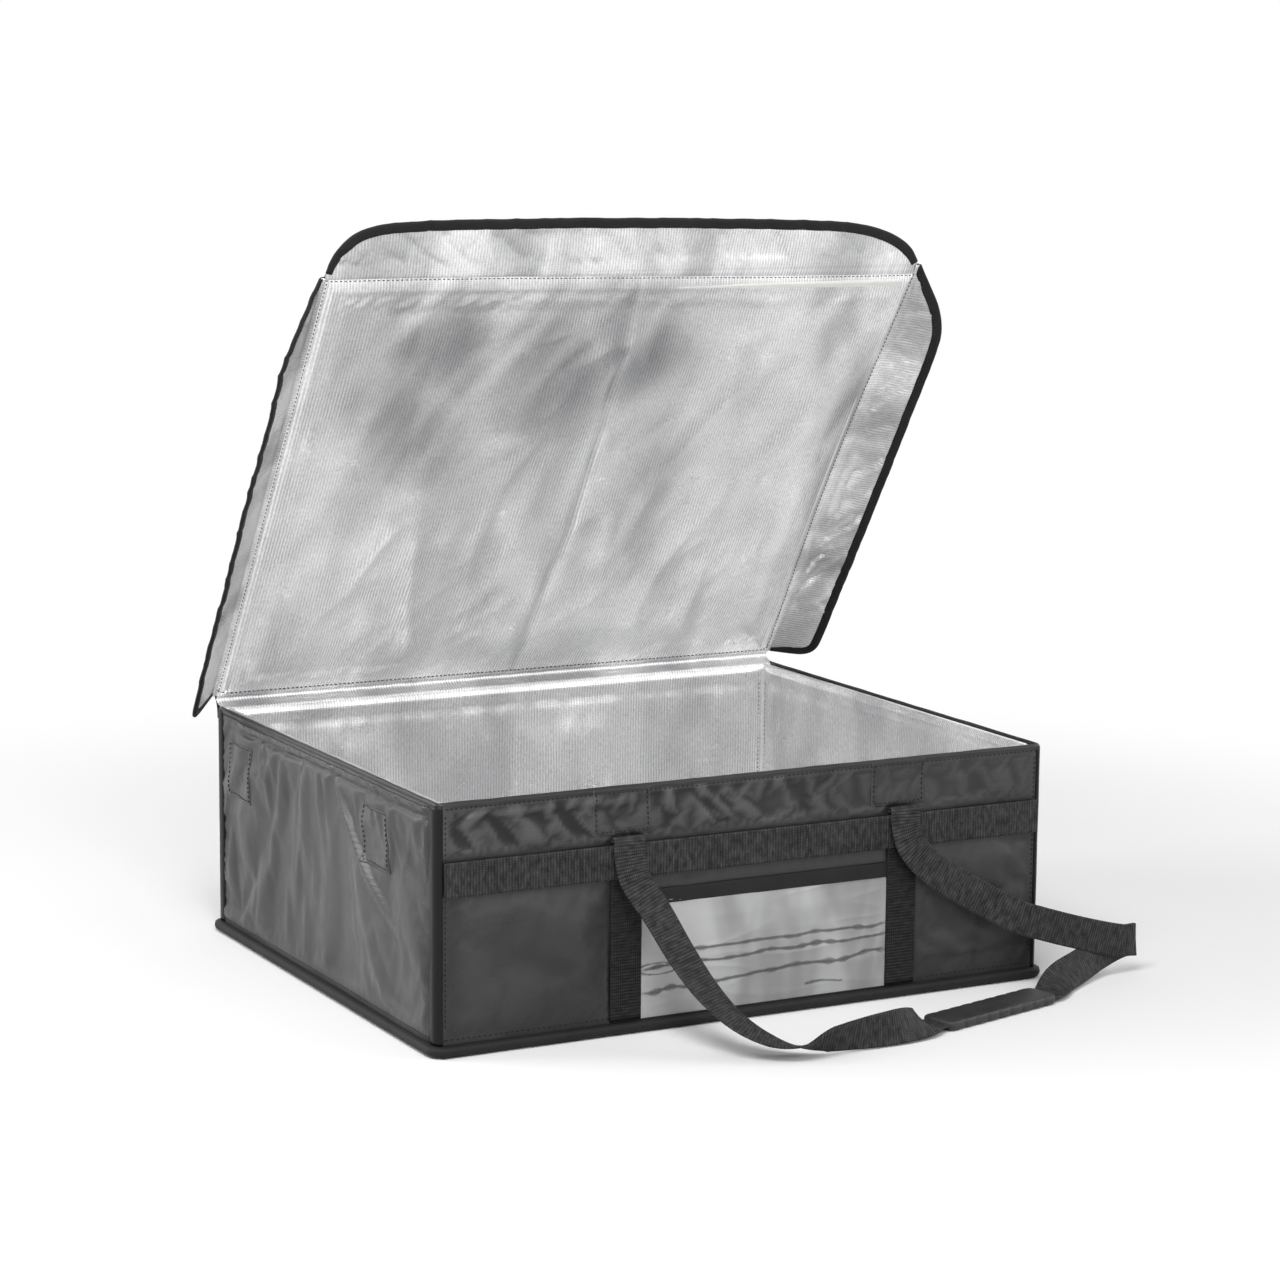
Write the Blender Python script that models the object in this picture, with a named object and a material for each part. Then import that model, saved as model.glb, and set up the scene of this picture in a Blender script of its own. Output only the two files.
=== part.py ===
# Insulated food delivery bag: a soft box of coated fabric, foam and foil lining, with a hinged lid
# that carries three flaps, two webbing handles and a clear pocket on its front wall.
# Metres, +Z up. The origin is the centre of the base on the floor, and the front faces -Y.
# The bag stands open: the lid leans forward over the box and the front handle lies on the floor.

import math

import bmesh
import bpy
from mathutils import Matrix, Vector

for old_object in list(bpy.data.objects):
    bpy.data.objects.remove(old_object, do_unlink=True)

# Box, measured over the outside of the cover fabric
WIDTH = 0.500
DEPTH = 0.410
WALL_HEIGHT = 0.171
BASE_HEIGHT = 0.009

# Layers of a wall and the gap kept between two layers that touch
COVER = 0.0010
FOAM = 0.0070
LINING = 0.0008
GAP = 0.0003

# Bound seam that runs round the base
BINDING_REACH = 0.006
BINDING_LAP = 0.004
BINDING_CORNER = 0.012
BINDING_INNER_ROUND = 0.0003
BASE_COVER = 0.0012

# Corner seams
CORNER_ROUND = 0.005

# Webbing of the bands, strips and handles
WEBBING_WIDTH = 0.025
WEBBING = 0.0016
BAND_BOTTOM = 0.1135
BAND_END_INSET = 0.006
LEFT_STRIP_X = 0.147
STRIP_SPACING = 0.230

# Clear pocket on the front wall
PANE_TOP = 0.098
PANE = 0.0005
POCKET_BINDING_HEIGHT = 0.011
POCKET_BINDING = 0.0010
POCKET_BINDING_RISE = 0.005

# Stitched patches
PATCH = 0.0010
FRONT_PATCH_WIDTH = 0.046
FRONT_PATCH_DROP = 0.0015
FRONT_PATCH_FOOT = 0.0006
FRONT_PATCH_SHIFT = 0.004
SIDE_PATCH_WIDTH = 0.047
SIDE_PATCH_HEIGHT = 0.044
SIDE_PATCH_DROP = 0.022
SIDE_PATCH_FRONT_Y = 0.103
SIDE_PATCH_BACK_Y = 0.360

# Lid panel, its hinge seam and its opening
LID_OPEN = math.radians(56.5)
LID_REST_CLEARANCE = 0.0006
LID_OVERHANG = 0.0020
HINGE_SEAM_RADIUS = 0.0015
SEAM_RADIUS = 0.00105

# Flaps round the lid, folded inward by these angles where the bag stands open
FLAP_REACH = 0.041
FLAP_CORNER_REACH = 0.0095
FRONT_FLAP_CORNER_RUN = 0.052
SIDE_FLAP_CORNER_RUN = 0.074
FLAP_REAR_RADIUS = 0.018
FLAP_BINDING_WIDTH = 0.008
FLAP_BINDING = 0.0024
FRONT_FLAP_FOLD = math.radians(-14)
LEFT_FLAP_FOLD = math.radians(48)
RIGHT_FLAP_FOLD = math.radians(18)

# Handles: the strap rolls over the top of its band, and a rubber sleeve rides on it
ROLL_RADIUS = 0.0021
GRIP_LENGTH = 0.115
GRIP_WIDTH = 0.030
GRIP_THICKNESS = 0.0070
GRIP_CLEARANCE = 0.0004
GRIP_RUN_OUT = 0.008
GRIP_ROUND = 0.0015
GRIP_HEADING = math.radians(15)
HANDLE_REACH = 0.112
FLOOR_CLEARANCE = 0.0002
ROLL_START = math.radians(-50)
ROLL_END = math.radians(163)
ROLL_POINTS = 6

ARC_STEPS = 8
STATIONS_PER_SPAN = 3

# What follows from the sizes above
RIM = BASE_HEIGHT + WALL_HEIGHT
WALL = COVER + GAP + FOAM + GAP + LINING
FRONT = -DEPTH / 2
BACK = DEPTH / 2
LEFT = -WIDTH / 2
RIGHT = WIDTH / 2
WALL_FOOT = BASE_HEIGHT + GAP
BAND_TOP = BAND_BOTTOM + WEBBING_WIDTH
RIGHT_STRIP_X = LEFT_STRIP_X + STRIP_SPACING
ROLL_OUTER = ROLL_RADIUS + WEBBING / 2
HANDLE_AXIS_OUT = GAP + ROLL_OUTER
HANDLE_AXIS_Z = BAND_TOP + GAP + ROLL_OUTER
HINGE_Z = RIM + GAP + HINGE_SEAM_RADIUS
LID_INNER_Z = RIM + LID_REST_CLEARANCE - HINGE_Z
LID_OUTER_Z = LID_INNER_Z + LINING + GAP + FOAM + GAP + COVER
LID_REAR = -(HINGE_SEAM_RADIUS + GAP)
LID_FRONT = -(DEPTH + LID_OVERHANG)
LID_HALF_WIDTH = WIDTH / 2 + LID_OVERHANG
FLAP_AXIS_OUT = SEAM_RADIUS + GAP
FLAP_AXIS_Z = LID_OUTER_Z - SEAM_RADIUS
FLAP_ROOT = SEAM_RADIUS + GAP


def material(name, colour, roughness, metallic=0.0, transmission=0.0):
    made = bpy.data.materials.new(name)
    made.use_nodes = True
    shader = made.node_tree.nodes["Principled BSDF"]
    shader.inputs["Base Color"].default_value = (*colour, 1.0)
    shader.inputs["Roughness"].default_value = roughness
    shader.inputs["Metallic"].default_value = metallic
    shader.inputs["Transmission Weight"].default_value = transmission
    return made


COATED_FABRIC = ("coated_fabric", (0.085, 0.085, 0.090), 0.42)
FOAM_CORE = ("foam_core", (0.80, 0.80, 0.78), 0.90)
FOIL_LINING = ("foil_lining", (0.86, 0.86, 0.87), 0.28, 0.9)
WEBBING_BLACK = ("webbing_black", (0.016, 0.016, 0.017), 0.70)
BINDING_TAPE = ("binding_tape", (0.018, 0.018, 0.019), 0.80)
CLEAR_SHEET = ("clear_sheet", (0.80, 0.81, 0.82), 0.08, 0.0, 0.9)
GRIP_RUBBER = ("grip_rubber", (0.022, 0.022, 0.023), 0.55)
STIFF_BOARD = ("stiff_board", (0.20, 0.20, 0.20), 0.80)


def finish(name, mesh_data, look, parent=None):
    """Turn a bmesh into a named object with its own material."""
    bmesh.ops.recalc_face_normals(mesh_data, faces=mesh_data.faces)
    mesh = bpy.data.meshes.new(name)
    mesh_data.to_mesh(mesh)
    mesh_data.free()
    made = bpy.data.objects.new(name, mesh)
    bpy.context.scene.collection.objects.link(made)
    mesh.materials.append(material(name + "_" + look[0], *look[1:]))
    made.parent = parent
    return made


def empty(name, location, parent=None, rotation=(0.0, 0.0, 0.0)):
    made = bpy.data.objects.new(name, None)
    bpy.context.scene.collection.objects.link(made)
    made.location = location
    made.rotation_euler = rotation
    made.parent = parent
    return made


def block(name, x_range, y_range, z_range, look, parent=None):
    """A plain box between two values on each axis."""
    mesh_data = bmesh.new()
    bmesh.ops.create_cube(mesh_data, size=1.0)
    ranges = (x_range, y_range, z_range)
    low = Vector(min(pair) for pair in ranges)
    high = Vector(max(pair) for pair in ranges)
    for vertex in mesh_data.verts:
        share = vertex.co + Vector((0.5, 0.5, 0.5))
        vertex.co = low + Vector(a * b for a, b in zip(high - low, share))
    return finish(name, mesh_data, look, parent)


def prism(name, outline, low, high, place, look, parent=None):
    """Extrude a closed outline from low to high. place(a, b, c) gives the 3-D point."""
    mesh_data = bmesh.new()
    loops = []
    for level in (low, high):
        loops.append([mesh_data.verts.new(place(a, b, level)) for a, b in outline])
    mesh_data.faces.new(loops[0])
    mesh_data.faces.new(loops[1])
    count = len(outline)
    for i in range(count):
        j = (i + 1) % count
        mesh_data.faces.new((loops[0][i], loops[0][j], loops[1][j], loops[1][i]))
    return finish(name, mesh_data, look, parent)


def band_between(name, outer, inner, low, high, place, look, parent=None, closed=True):
    """Extrude the strip between two outlines that have the same number of points."""
    mesh_data = bmesh.new()
    rings = []
    for outline, level in ((outer, low), (outer, high), (inner, high), (inner, low)):
        rings.append([mesh_data.verts.new(place(a, b, level)) for a, b in outline])
    count = len(outer)
    spans = count if closed else count - 1
    for i in range(spans):
        j = (i + 1) % count
        for ring, following in zip(rings, rings[1:] + rings[:1]):
            mesh_data.faces.new((ring[i], ring[j], following[j], following[i]))
    if not closed:
        mesh_data.faces.new([ring[0] for ring in rings])
        mesh_data.faces.new([ring[-1] for ring in rings])
    return finish(name, mesh_data, look, parent)


def arc(centre, radius, start, end, steps):
    """Points on an arc. Angles in degrees, radius a number or a pair for an ellipse."""
    wide, high = radius if isinstance(radius, tuple) else (radius, radius)
    points = []
    for i in range(steps + 1):
        angle = math.radians(start + (end - start) * i / steps)
        points.append((centre[0] + wide * math.cos(angle), centre[1] + high * math.sin(angle)))
    return points


def rounded_rectangle(half_x, half_y, radius):
    points = []
    for sign_x, sign_y, start in ((1, 1, 0), (-1, 1, 90), (-1, -1, 180), (1, -1, 270)):
        centre = (sign_x * (half_x - radius), sign_y * (half_y - radius))
        points += arc(centre, radius, start, start + 90, ARC_STEPS)
    return points


def upright(a, b, level):
    return (a, b, level)


# Base: cover, stiff board, lining and the bound seam round them
def make_base():
    lap = BINDING_LAP + GAP
    x_range = (LEFT + lap, RIGHT - lap)
    y_range = (FRONT + lap, BACK - lap)
    board_low = BASE_COVER + GAP
    block("base_cover", x_range, y_range, (0.0, BASE_COVER), COATED_FABRIC)
    block("base_board", x_range, y_range, (board_low, BASE_HEIGHT), STIFF_BOARD)
    inset = WALL + GAP
    inner_x = (LEFT + inset, RIGHT - inset)
    inner_y = (FRONT + inset, BACK - inset)
    block("base_lining", inner_x, inner_y, (WALL_FOOT, WALL_FOOT + LINING), FOIL_LINING)
    outer = rounded_rectangle(
        WIDTH / 2 + BINDING_REACH, DEPTH / 2 + BINDING_REACH, BINDING_CORNER)
    inner = rounded_rectangle(WIDTH / 2 - BINDING_LAP, DEPTH / 2 - BINDING_LAP, BINDING_INNER_ROUND)
    band_between("base_binding", outer, inner, 0.0, BASE_HEIGHT, upright, BINDING_TAPE)


# Walls: each has a cover that folds over the rim, a foam panel and a foil lining
def wall_cover_profile():
    """Outside at zero, inside positive. The fabric runs up the wall and over the rim."""
    return [(0.0, WALL_FOOT), (COVER, WALL_FOOT), (COVER, RIM - COVER),
            (WALL, RIM - COVER), (WALL, RIM), (0.0, RIM)]


def make_wall(side, outward, along, half_length, face, between):
    """outward and along are unit vectors. face is how far the wall stands from the centre.
    A wall that stands between the two others is shorter inside by their thickness."""
    corner = CORNER_ROUND + GAP
    mitre = WALL + GAP

    def place(depth, height, length):
        point = outward * (face - depth) + along * length
        return (point.x, point.y, height)

    def place_cover(depth, height, end):
        inset = mitre if depth > COVER else corner
        return place(depth, height, end * (half_length - inset))

    prism(side + "_wall_cover", wall_cover_profile(), -1, 1, place_cover, COATED_FABRIC)

    layer_top = RIM - COVER - GAP
    foam_half = half_length - (mitre if between else corner)
    foam_near = COVER + GAP
    foam_far = foam_near + FOAM
    foam_outline = [(foam_near, WALL_FOOT), (foam_far, WALL_FOOT),
                    (foam_far, layer_top), (foam_near, layer_top)]
    prism(side + "_wall_foam", foam_outline, -foam_half, foam_half, place, FOAM_CORE)

    lining_half = half_length - (mitre if between else WALL - LINING)
    lining_outline = [(WALL - LINING, WALL_FOOT), (WALL, WALL_FOOT),
                      (WALL, layer_top), (WALL - LINING, layer_top)]
    prism(side + "_wall_lining", lining_outline, -lining_half, lining_half, place, FOIL_LINING)


def make_corner_seam(name, sign_x, sign_y):
    """A quarter round that closes the corner between two covers."""
    outer = arc((0.0, 0.0), CORNER_ROUND, 0, 90, ARC_STEPS)
    inner = arc((0.0, 0.0), CORNER_ROUND - COVER, 0, 90, ARC_STEPS)

    def place(a, b, level):
        return (sign_x * (WIDTH / 2 - CORNER_ROUND + a), sign_y * (DEPTH / 2 - CORNER_ROUND + b), level)

    band_between(name, outer, inner, WALL_FOOT, RIM, place, COATED_FABRIC, closed=False)


def make_walls():
    x_axis = Vector((1, 0, 0))
    y_axis = Vector((0, 1, 0))
    make_wall("front", -y_axis, x_axis, WIDTH / 2, DEPTH / 2, False)
    make_wall("back", y_axis, x_axis, WIDTH / 2, DEPTH / 2, False)
    make_wall("left", -x_axis, y_axis, DEPTH / 2, WIDTH / 2, True)
    make_wall("right", x_axis, y_axis, DEPTH / 2, WIDTH / 2, True)
    for side_y, sign_y in (("front", -1), ("back", 1)):
        for side_x, sign_x in (("left", -1), ("right", 1)):
            make_corner_seam("corner_seam_" + side_y + "_" + side_x, sign_x, sign_y)


# Webbing sewn to the front and back walls
def make_webbing(side, sign_y):
    wall_y = sign_y * DEPTH / 2
    strip_near = wall_y + sign_y * GAP
    strip_far = strip_near + sign_y * WEBBING
    band_near = strip_far + sign_y * GAP
    band_far = band_near + sign_y * WEBBING
    for label, centre in (("left", LEFT + LEFT_STRIP_X), ("right", LEFT + RIGHT_STRIP_X)):
        x_range = (centre - WEBBING_WIDTH / 2, centre + WEBBING_WIDTH / 2)
        block(side + "_" + label + "_strip", x_range, (strip_near, strip_far),
              (WALL_FOOT, BAND_TOP), WEBBING_BLACK)
    x_range = (LEFT + BAND_END_INSET, RIGHT - BAND_END_INSET)
    block(side + "_band", x_range, (band_near, band_far), (BAND_BOTTOM, BAND_TOP), WEBBING_BLACK)


# Clear pocket between the two front strips
def make_pocket():
    x_range = (LEFT + LEFT_STRIP_X + WEBBING_WIDTH / 2 + GAP,
               LEFT + RIGHT_STRIP_X - WEBBING_WIDTH / 2 - GAP)
    pane_far = FRONT - GAP - PANE
    block("window_pane", x_range, (FRONT - GAP, pane_far), (WALL_FOOT, PANE_TOP), CLEAR_SHEET)
    binding_top = PANE_TOP + POCKET_BINDING_RISE
    binding_near = pane_far - GAP
    block("window_binding", x_range, (binding_near, binding_near - POCKET_BINDING),
          (binding_top - POCKET_BINDING_HEIGHT, binding_top), BINDING_TAPE)


# Stitched patches: two on the front wall above the strips and two on each side wall
def make_patches():
    for label, centre in (("left", LEFT + LEFT_STRIP_X), ("right", LEFT + RIGHT_STRIP_X)):
        middle = centre - FRONT_PATCH_SHIFT
        x_range = (middle - FRONT_PATCH_WIDTH / 2, middle + FRONT_PATCH_WIDTH / 2)
        foot = HANDLE_AXIS_Z + ROLL_OUTER + FRONT_PATCH_FOOT
        block("front_" + label + "_patch", x_range, (FRONT - GAP, FRONT - GAP - PATCH),
              (foot, RIM - FRONT_PATCH_DROP), COATED_FABRIC)
    for side, sign_x in (("left", -1), ("right", 1)):
        near = sign_x * (WIDTH / 2 + GAP)
        far = near + sign_x * PATCH
        top = RIM - SIDE_PATCH_DROP
        for label, distance in (("front", SIDE_PATCH_FRONT_Y), ("back", SIDE_PATCH_BACK_Y)):
            middle = FRONT + distance
            y_range = (middle - SIDE_PATCH_WIDTH / 2, middle + SIDE_PATCH_WIDTH / 2)
            block(side + "_" + label + "_patch", (near, far), y_range,
                  (top - SIDE_PATCH_HEIGHT, top), COATED_FABRIC)


def rod(name, start, end, radius, look, parent=None):
    """A round bead from start to end."""
    direction = Vector(end) - Vector(start)
    mesh_data = bmesh.new()
    bmesh.ops.create_cone(mesh_data, cap_ends=True, segments=2 * ARC_STEPS, radius1=radius,
                          radius2=radius, depth=direction.length)
    turn = Vector((0, 0, 1)).rotation_difference(direction).to_matrix().to_4x4()
    middle = Matrix.Translation((Vector(start) + Vector(end)) / 2)
    bmesh.ops.transform(mesh_data, matrix=middle @ turn, verts=mesh_data.verts)
    return finish(name, mesh_data, look, parent)


# Lid panel. It is modelled closed, in a frame on the hinge axis, and the frame is turned open.
def make_lid(frame):
    inner = LID_INNER_Z + LINING + GAP
    outer = inner + FOAM + GAP
    half = LID_HALF_WIDTH
    x_range = (-half, half)
    y_range = (LID_FRONT, LID_REAR)
    block("lid_cover", x_range, y_range, (outer, LID_OUTER_Z), COATED_FABRIC, frame)
    edge = LINING + GAP
    foam_x = (-half + edge, half - edge)
    foam_y = (LID_FRONT + edge, LID_REAR - edge)
    block("lid_foam", foam_x, foam_y, (inner, inner + FOAM), FOAM_CORE, frame)

    # The lining is a tray: a sheet under the foam and a skirt round its edge
    skirt_top = outer - GAP
    mesh_data = bmesh.new()
    outer_loop = [(-half, LID_FRONT), (half, LID_FRONT), (half, LID_REAR), (-half, LID_REAR)]
    inner_half = half - LINING
    inner_loop = [(-inner_half, LID_FRONT + LINING), (inner_half, LID_FRONT + LINING),
                  (inner_half, LID_REAR - LINING), (-inner_half, LID_REAR - LINING)]
    rings = []
    for loop, level in ((outer_loop, LID_INNER_Z), (outer_loop, skirt_top),
                        (inner_loop, skirt_top), (inner_loop, LID_INNER_Z + LINING)):
        rings.append([mesh_data.verts.new((x, y, level)) for x, y in loop])
    mesh_data.faces.new(rings[0])
    mesh_data.faces.new(rings[3])
    for lower, upper in zip(rings, rings[1:]):
        for i in range(4):
            j = (i + 1) % 4
            mesh_data.faces.new((lower[i], lower[j], upper[j], upper[i]))
    finish("lid_lining", mesh_data, FOIL_LINING, frame)


def make_lid_seam(frame):
    """The bead that the flaps turn on, along the left, front and right edges of the panel."""
    side = LID_HALF_WIDTH + FLAP_AXIS_OUT
    front = LID_FRONT - FLAP_AXIS_OUT
    corner_gap = SEAM_RADIUS + GAP
    rod("lid_seam_front", (-side + corner_gap, front, FLAP_AXIS_Z),
        (side - corner_gap, front, FLAP_AXIS_Z), SEAM_RADIUS, BINDING_TAPE, frame)
    for name, sign in (("lid_seam_left", -1), ("lid_seam_right", 1)):
        rod(name, (sign * side, front + corner_gap, FLAP_AXIS_Z), (sign * side, LID_REAR, FLAP_AXIS_Z),
            SEAM_RADIUS, BINDING_TAPE, frame)


# Flaps. Outlines run along the seam (first value) and out from it (second value).
def swept_end(run, inset):
    """Arc that lets a flap sink to its low corner, as points from low to high."""
    rise = FLAP_REACH - FLAP_CORNER_REACH
    radius = (run**2 + rise**2) / (2 * rise)
    start = math.degrees(math.pi - math.asin((radius - rise) / radius))
    points = arc((run, FLAP_REACH - radius), radius, start, 90, ARC_STEPS)
    return offset_edge(points, inset)


def front_flap_edge(length, inset):
    """Outer edge of the front flap, from one end to the other."""
    rise = swept_end(FRONT_FLAP_CORNER_RUN, inset)
    return rise + [(length - a, b) for a, b in reversed(rise)]


def side_flap_edge(length, inset):
    """Outer edge of a side flap, from the lid's front corner to the hinge end."""
    centre = (length - FLAP_REAR_RADIUS, FLAP_REACH - FLAP_REAR_RADIUS)
    rear = arc(centre, FLAP_REAR_RADIUS - inset, 90, 0, ARC_STEPS)
    return swept_end(SIDE_FLAP_CORNER_RUN, inset) + rear


def offset_edge(points, distance):
    """Move an open edge inward, square to its own direction. It ends level."""
    moved = []
    for i, point in enumerate(points):
        before = points[max(i - 1, 0)]
        after = points[i + 1] if i < len(points) - 1 else (point[0] + FLAP_REACH, point[1])
        if i == len(points) - 1:
            before = point
        along = Vector((after[0] - before[0], after[1] - before[1])).normalized()
        moved.append((point[0] + along.y * distance, point[1] - along.x * distance))
    return moved


def make_flap(side, length, edge_of, place, frame):
    """A flap is a cover and a lining that lie together, inside a bound edge."""
    outer_edge = edge_of(length, 0.0)
    inner_edge = edge_of(length, FLAP_BINDING_WIDTH)
    sheet_edge = edge_of(length, FLAP_BINDING_WIDTH + GAP)
    outer_edge = [(outer_edge[0][0], FLAP_ROOT)] + outer_edge + [(outer_edge[-1][0], FLAP_ROOT)]
    inner_edge = [(inner_edge[0][0], FLAP_ROOT)] + inner_edge + [(inner_edge[-1][0], FLAP_ROOT)]
    sheet = [(sheet_edge[0][0], FLAP_ROOT)] + sheet_edge + [(sheet_edge[-1][0], FLAP_ROOT)]
    band_between(side + "_flap_binding", outer_edge, inner_edge, -FLAP_BINDING / 2,
                 FLAP_BINDING / 2, place, BINDING_TAPE, frame, closed=False)
    prism(side + "_flap_cover", sheet, GAP / 2, GAP / 2 + COVER, place, COATED_FABRIC, frame)
    prism(side + "_flap_lining", sheet, -GAP / 2 - LINING, -GAP / 2, place, FOIL_LINING, frame)


def make_flaps(lid_frame):
    side = LID_HALF_WIDTH + FLAP_AXIS_OUT
    front = LID_FRONT - FLAP_AXIS_OUT
    front_half = LID_HALF_WIDTH - GAP
    side_start = LID_FRONT + GAP
    side_length = LID_REAR - side_start

    front_frame = empty("front_flap_axis", (0.0, front, FLAP_AXIS_Z), lid_frame,
                        (FRONT_FLAP_FOLD, 0.0, 0.0))
    make_flap("front", 2 * front_half, front_flap_edge,
              lambda a, b, c: (a - front_half, -b, c), front_frame)
    left_frame = empty("left_flap_axis", (-side, side_start, FLAP_AXIS_Z), lid_frame,
                       (0.0, -LEFT_FLAP_FOLD, 0.0))
    make_flap("left", side_length, side_flap_edge, lambda a, b, c: (-b, a, c), left_frame)
    right_frame = empty("right_flap_axis", (side, side_start, FLAP_AXIS_Z), lid_frame,
                        (0.0, RIGHT_FLAP_FOLD, 0.0))
    make_flap("right", side_length, side_flap_edge, lambda a, b, c: (b, a, c), right_frame)


# Handles. The strap is a ribbon that runs through the points of its route with its face turned
# as each normal says. Across, a point is a share of the strip spacing from the left strip. Out,
# it is a share of the handle's reach, and up, a share of the height of the handle's axis.
LEFT_LEG_SHARES = [
    (0.00, 0.060, 0.91, (0.00, -0.99, 0.14)),
    (0.01, 0.10, 0.80, (0.00, -0.96, 0.28)),
    (0.05, 0.21, 0.66, (-0.02, -0.90, 0.42)),
    (0.10, 0.40, 0.44, (0.05, -0.82, 0.56)),
    (0.14, 0.57, 0.29, (0.15, -0.72, 0.68)),
    (0.19, 0.76, 0.17, (0.28, -0.55, 0.78)),
    (0.27, 0.91, 0.085, (0.30, -0.25, 0.92)),
    (0.35, 1.00, 0.060, (0.15, 0.25, 0.96)),
    (0.44, 1.04, 0.087, (0.10, 0.85, 0.50)),
    (0.65, 1.01, 0.092, (0.15, 0.98, -0.10)),
    (0.80, 0.92, 0.076, (0.12, 0.72, -0.68)),
]
GRIP_CENTRE_SHARES = (1.145, 0.655)
LOWER_RUN_SHARES = [
    (1.50, 0.40, 0.070, (-0.20, 0.62, -0.76)),
    (1.60, 0.31, 0.098, (-0.30, 0.85, -0.42)),
    (1.71, 0.22, 0.130, (-0.25, 0.95, -0.16)),
    (1.80, 0.165, 0.158, (-0.10, 0.99, -0.05)),
    (1.850, 0.153, 0.172, (0.20, 0.98, 0.00)),
    (1.868, 0.183, 0.178, (1.00, 0.00, 0.00)),
    (1.850, 0.213, 0.184, (0.10, -0.99, 0.00)),
]
RIGHT_LEG_SHARES = [
    (1.79, 0.228, 0.196, (-0.10, -0.99, 0.00)),
    (1.64, 0.262, 0.262, (-0.22, -0.97, 0.04)),
    (1.49, 0.268, 0.338, (-0.22, -0.97, 0.05)),
    (1.38, 0.225, 0.400, (-0.20, -0.97, 0.08)),
    (1.29, 0.170, 0.480, (-0.15, -0.98, 0.10)),
    (1.19, 0.128, 0.575, (-0.12, -0.98, 0.12)),
    (1.09, 0.097, 0.685, (-0.06, -0.98, 0.14)),
    (1.02, 0.074, 0.810, (0.00, -0.98, 0.16)),
    (1.00, 0.060, 0.910, (0.00, -0.99, 0.14)),
]


def roll_points(across):
    """Where the strap rolls over the band: (position, normal) pairs from the wall to the front."""
    pairs = []
    for i in range(ROLL_POINTS):
        angle = ROLL_START + (ROLL_END - ROLL_START) * i / (ROLL_POINTS - 1)
        normal = Vector((0.0, math.cos(angle), math.sin(angle)))
        pairs.append((Vector((across, 0.0, 0.0)) + normal * ROLL_RADIUS, normal))
    return pairs


def route_point(across_share, out_share, up_share, normal):
    """A route point seen from the handle's axis, with x measured from the bag's left edge."""
    position = Vector((LEFT_STRIP_X + across_share * STRIP_SPACING,
                       -out_share * HANDLE_REACH + HANDLE_AXIS_OUT,
                       up_share * HANDLE_AXIS_Z - HANDLE_AXIS_Z))
    return position, Vector(normal).normalized()


def grip_ends():
    """The two ends of the straight run that the sleeve covers, and its direction."""
    across, out = GRIP_CENTRE_SHARES
    centre = Vector((LEFT_STRIP_X + across * STRIP_SPACING, -out * HANDLE_REACH + HANDLE_AXIS_OUT,
                     GRIP_THICKNESS / 2 + FLOOR_CLEARANCE - HANDLE_AXIS_Z))
    heading = Vector((math.cos(GRIP_HEADING), math.sin(GRIP_HEADING), 0.0))
    return centre - heading * GRIP_LENGTH / 2, centre + heading * GRIP_LENGTH / 2, heading


def handle_route():
    """Positions and normals of the whole strap, from the left roll to the right one."""
    start, end, heading = grip_ends()
    down = Vector((0.0, 0.0, -1.0))
    pairs = roll_points(LEFT_STRIP_X)
    pairs += [route_point(*row) for row in LEFT_LEG_SHARES]
    pairs += [(start - heading * GRIP_RUN_OUT, down), (start, down), (end, down),
              (end + heading * GRIP_RUN_OUT, down)]
    pairs += [route_point(*row) for row in LOWER_RUN_SHARES]
    pairs += [route_point(*row) for row in RIGHT_LEG_SHARES]
    pairs += list(reversed(roll_points(RIGHT_STRIP_X)))
    return pairs


def smooth_route(pairs):
    """Read a smooth curve through the route's points, a few stations in each span."""
    stations = []
    for i in range(len(pairs) - 1):
        before = pairs[max(i - 1, 0)][0]
        start, start_normal = pairs[i]
        end, end_normal = pairs[i + 1]
        after = pairs[min(i + 2, len(pairs) - 1)][0]
        reach = (end - start).length
        leave = (end - before).normalized() * reach
        arrive = (after - start).normalized() * reach
        for step in range(STATIONS_PER_SPAN):
            t = step / STATIONS_PER_SPAN
            position = (start * (2 * t**3 - 3 * t**2 + 1) + leave * (t**3 - 2 * t**2 + t)
                        + end * (3 * t**2 - 2 * t**3) + arrive * (t**3 - t**2))
            stations.append((position, start_normal.lerp(end_normal, t).normalized()))
    stations.append(pairs[-1])
    return stations


def ribbon(name, stations, place, look, parent):
    """Sweep a flat section along the stations."""
    mesh_data = bmesh.new()
    rings = []
    for i, (position, normal) in enumerate(stations):
        before = stations[max(i - 1, 0)][0]
        after = stations[min(i + 1, len(stations) - 1)][0]
        along = (after - before).normalized()
        face = (normal - along * normal.dot(along)).normalized()
        across = along.cross(face)
        ring = []
        for side, layer in ((-1, -1), (1, -1), (1, 1), (-1, 1)):
            offset = across * side * WEBBING_WIDTH / 2 + face * layer * WEBBING / 2
            ring.append(mesh_data.verts.new(place(position + offset)))
        rings.append(ring)
    for ring, following in zip(rings, rings[1:]):
        for i in range(4):
            j = (i + 1) % 4
            mesh_data.faces.new((ring[i], ring[j], following[j], following[i]))
    mesh_data.faces.new(rings[0])
    mesh_data.faces.new(rings[-1])
    bmesh.ops.triangulate(mesh_data, faces=mesh_data.faces)
    return finish(name, mesh_data, look, parent)


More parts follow.
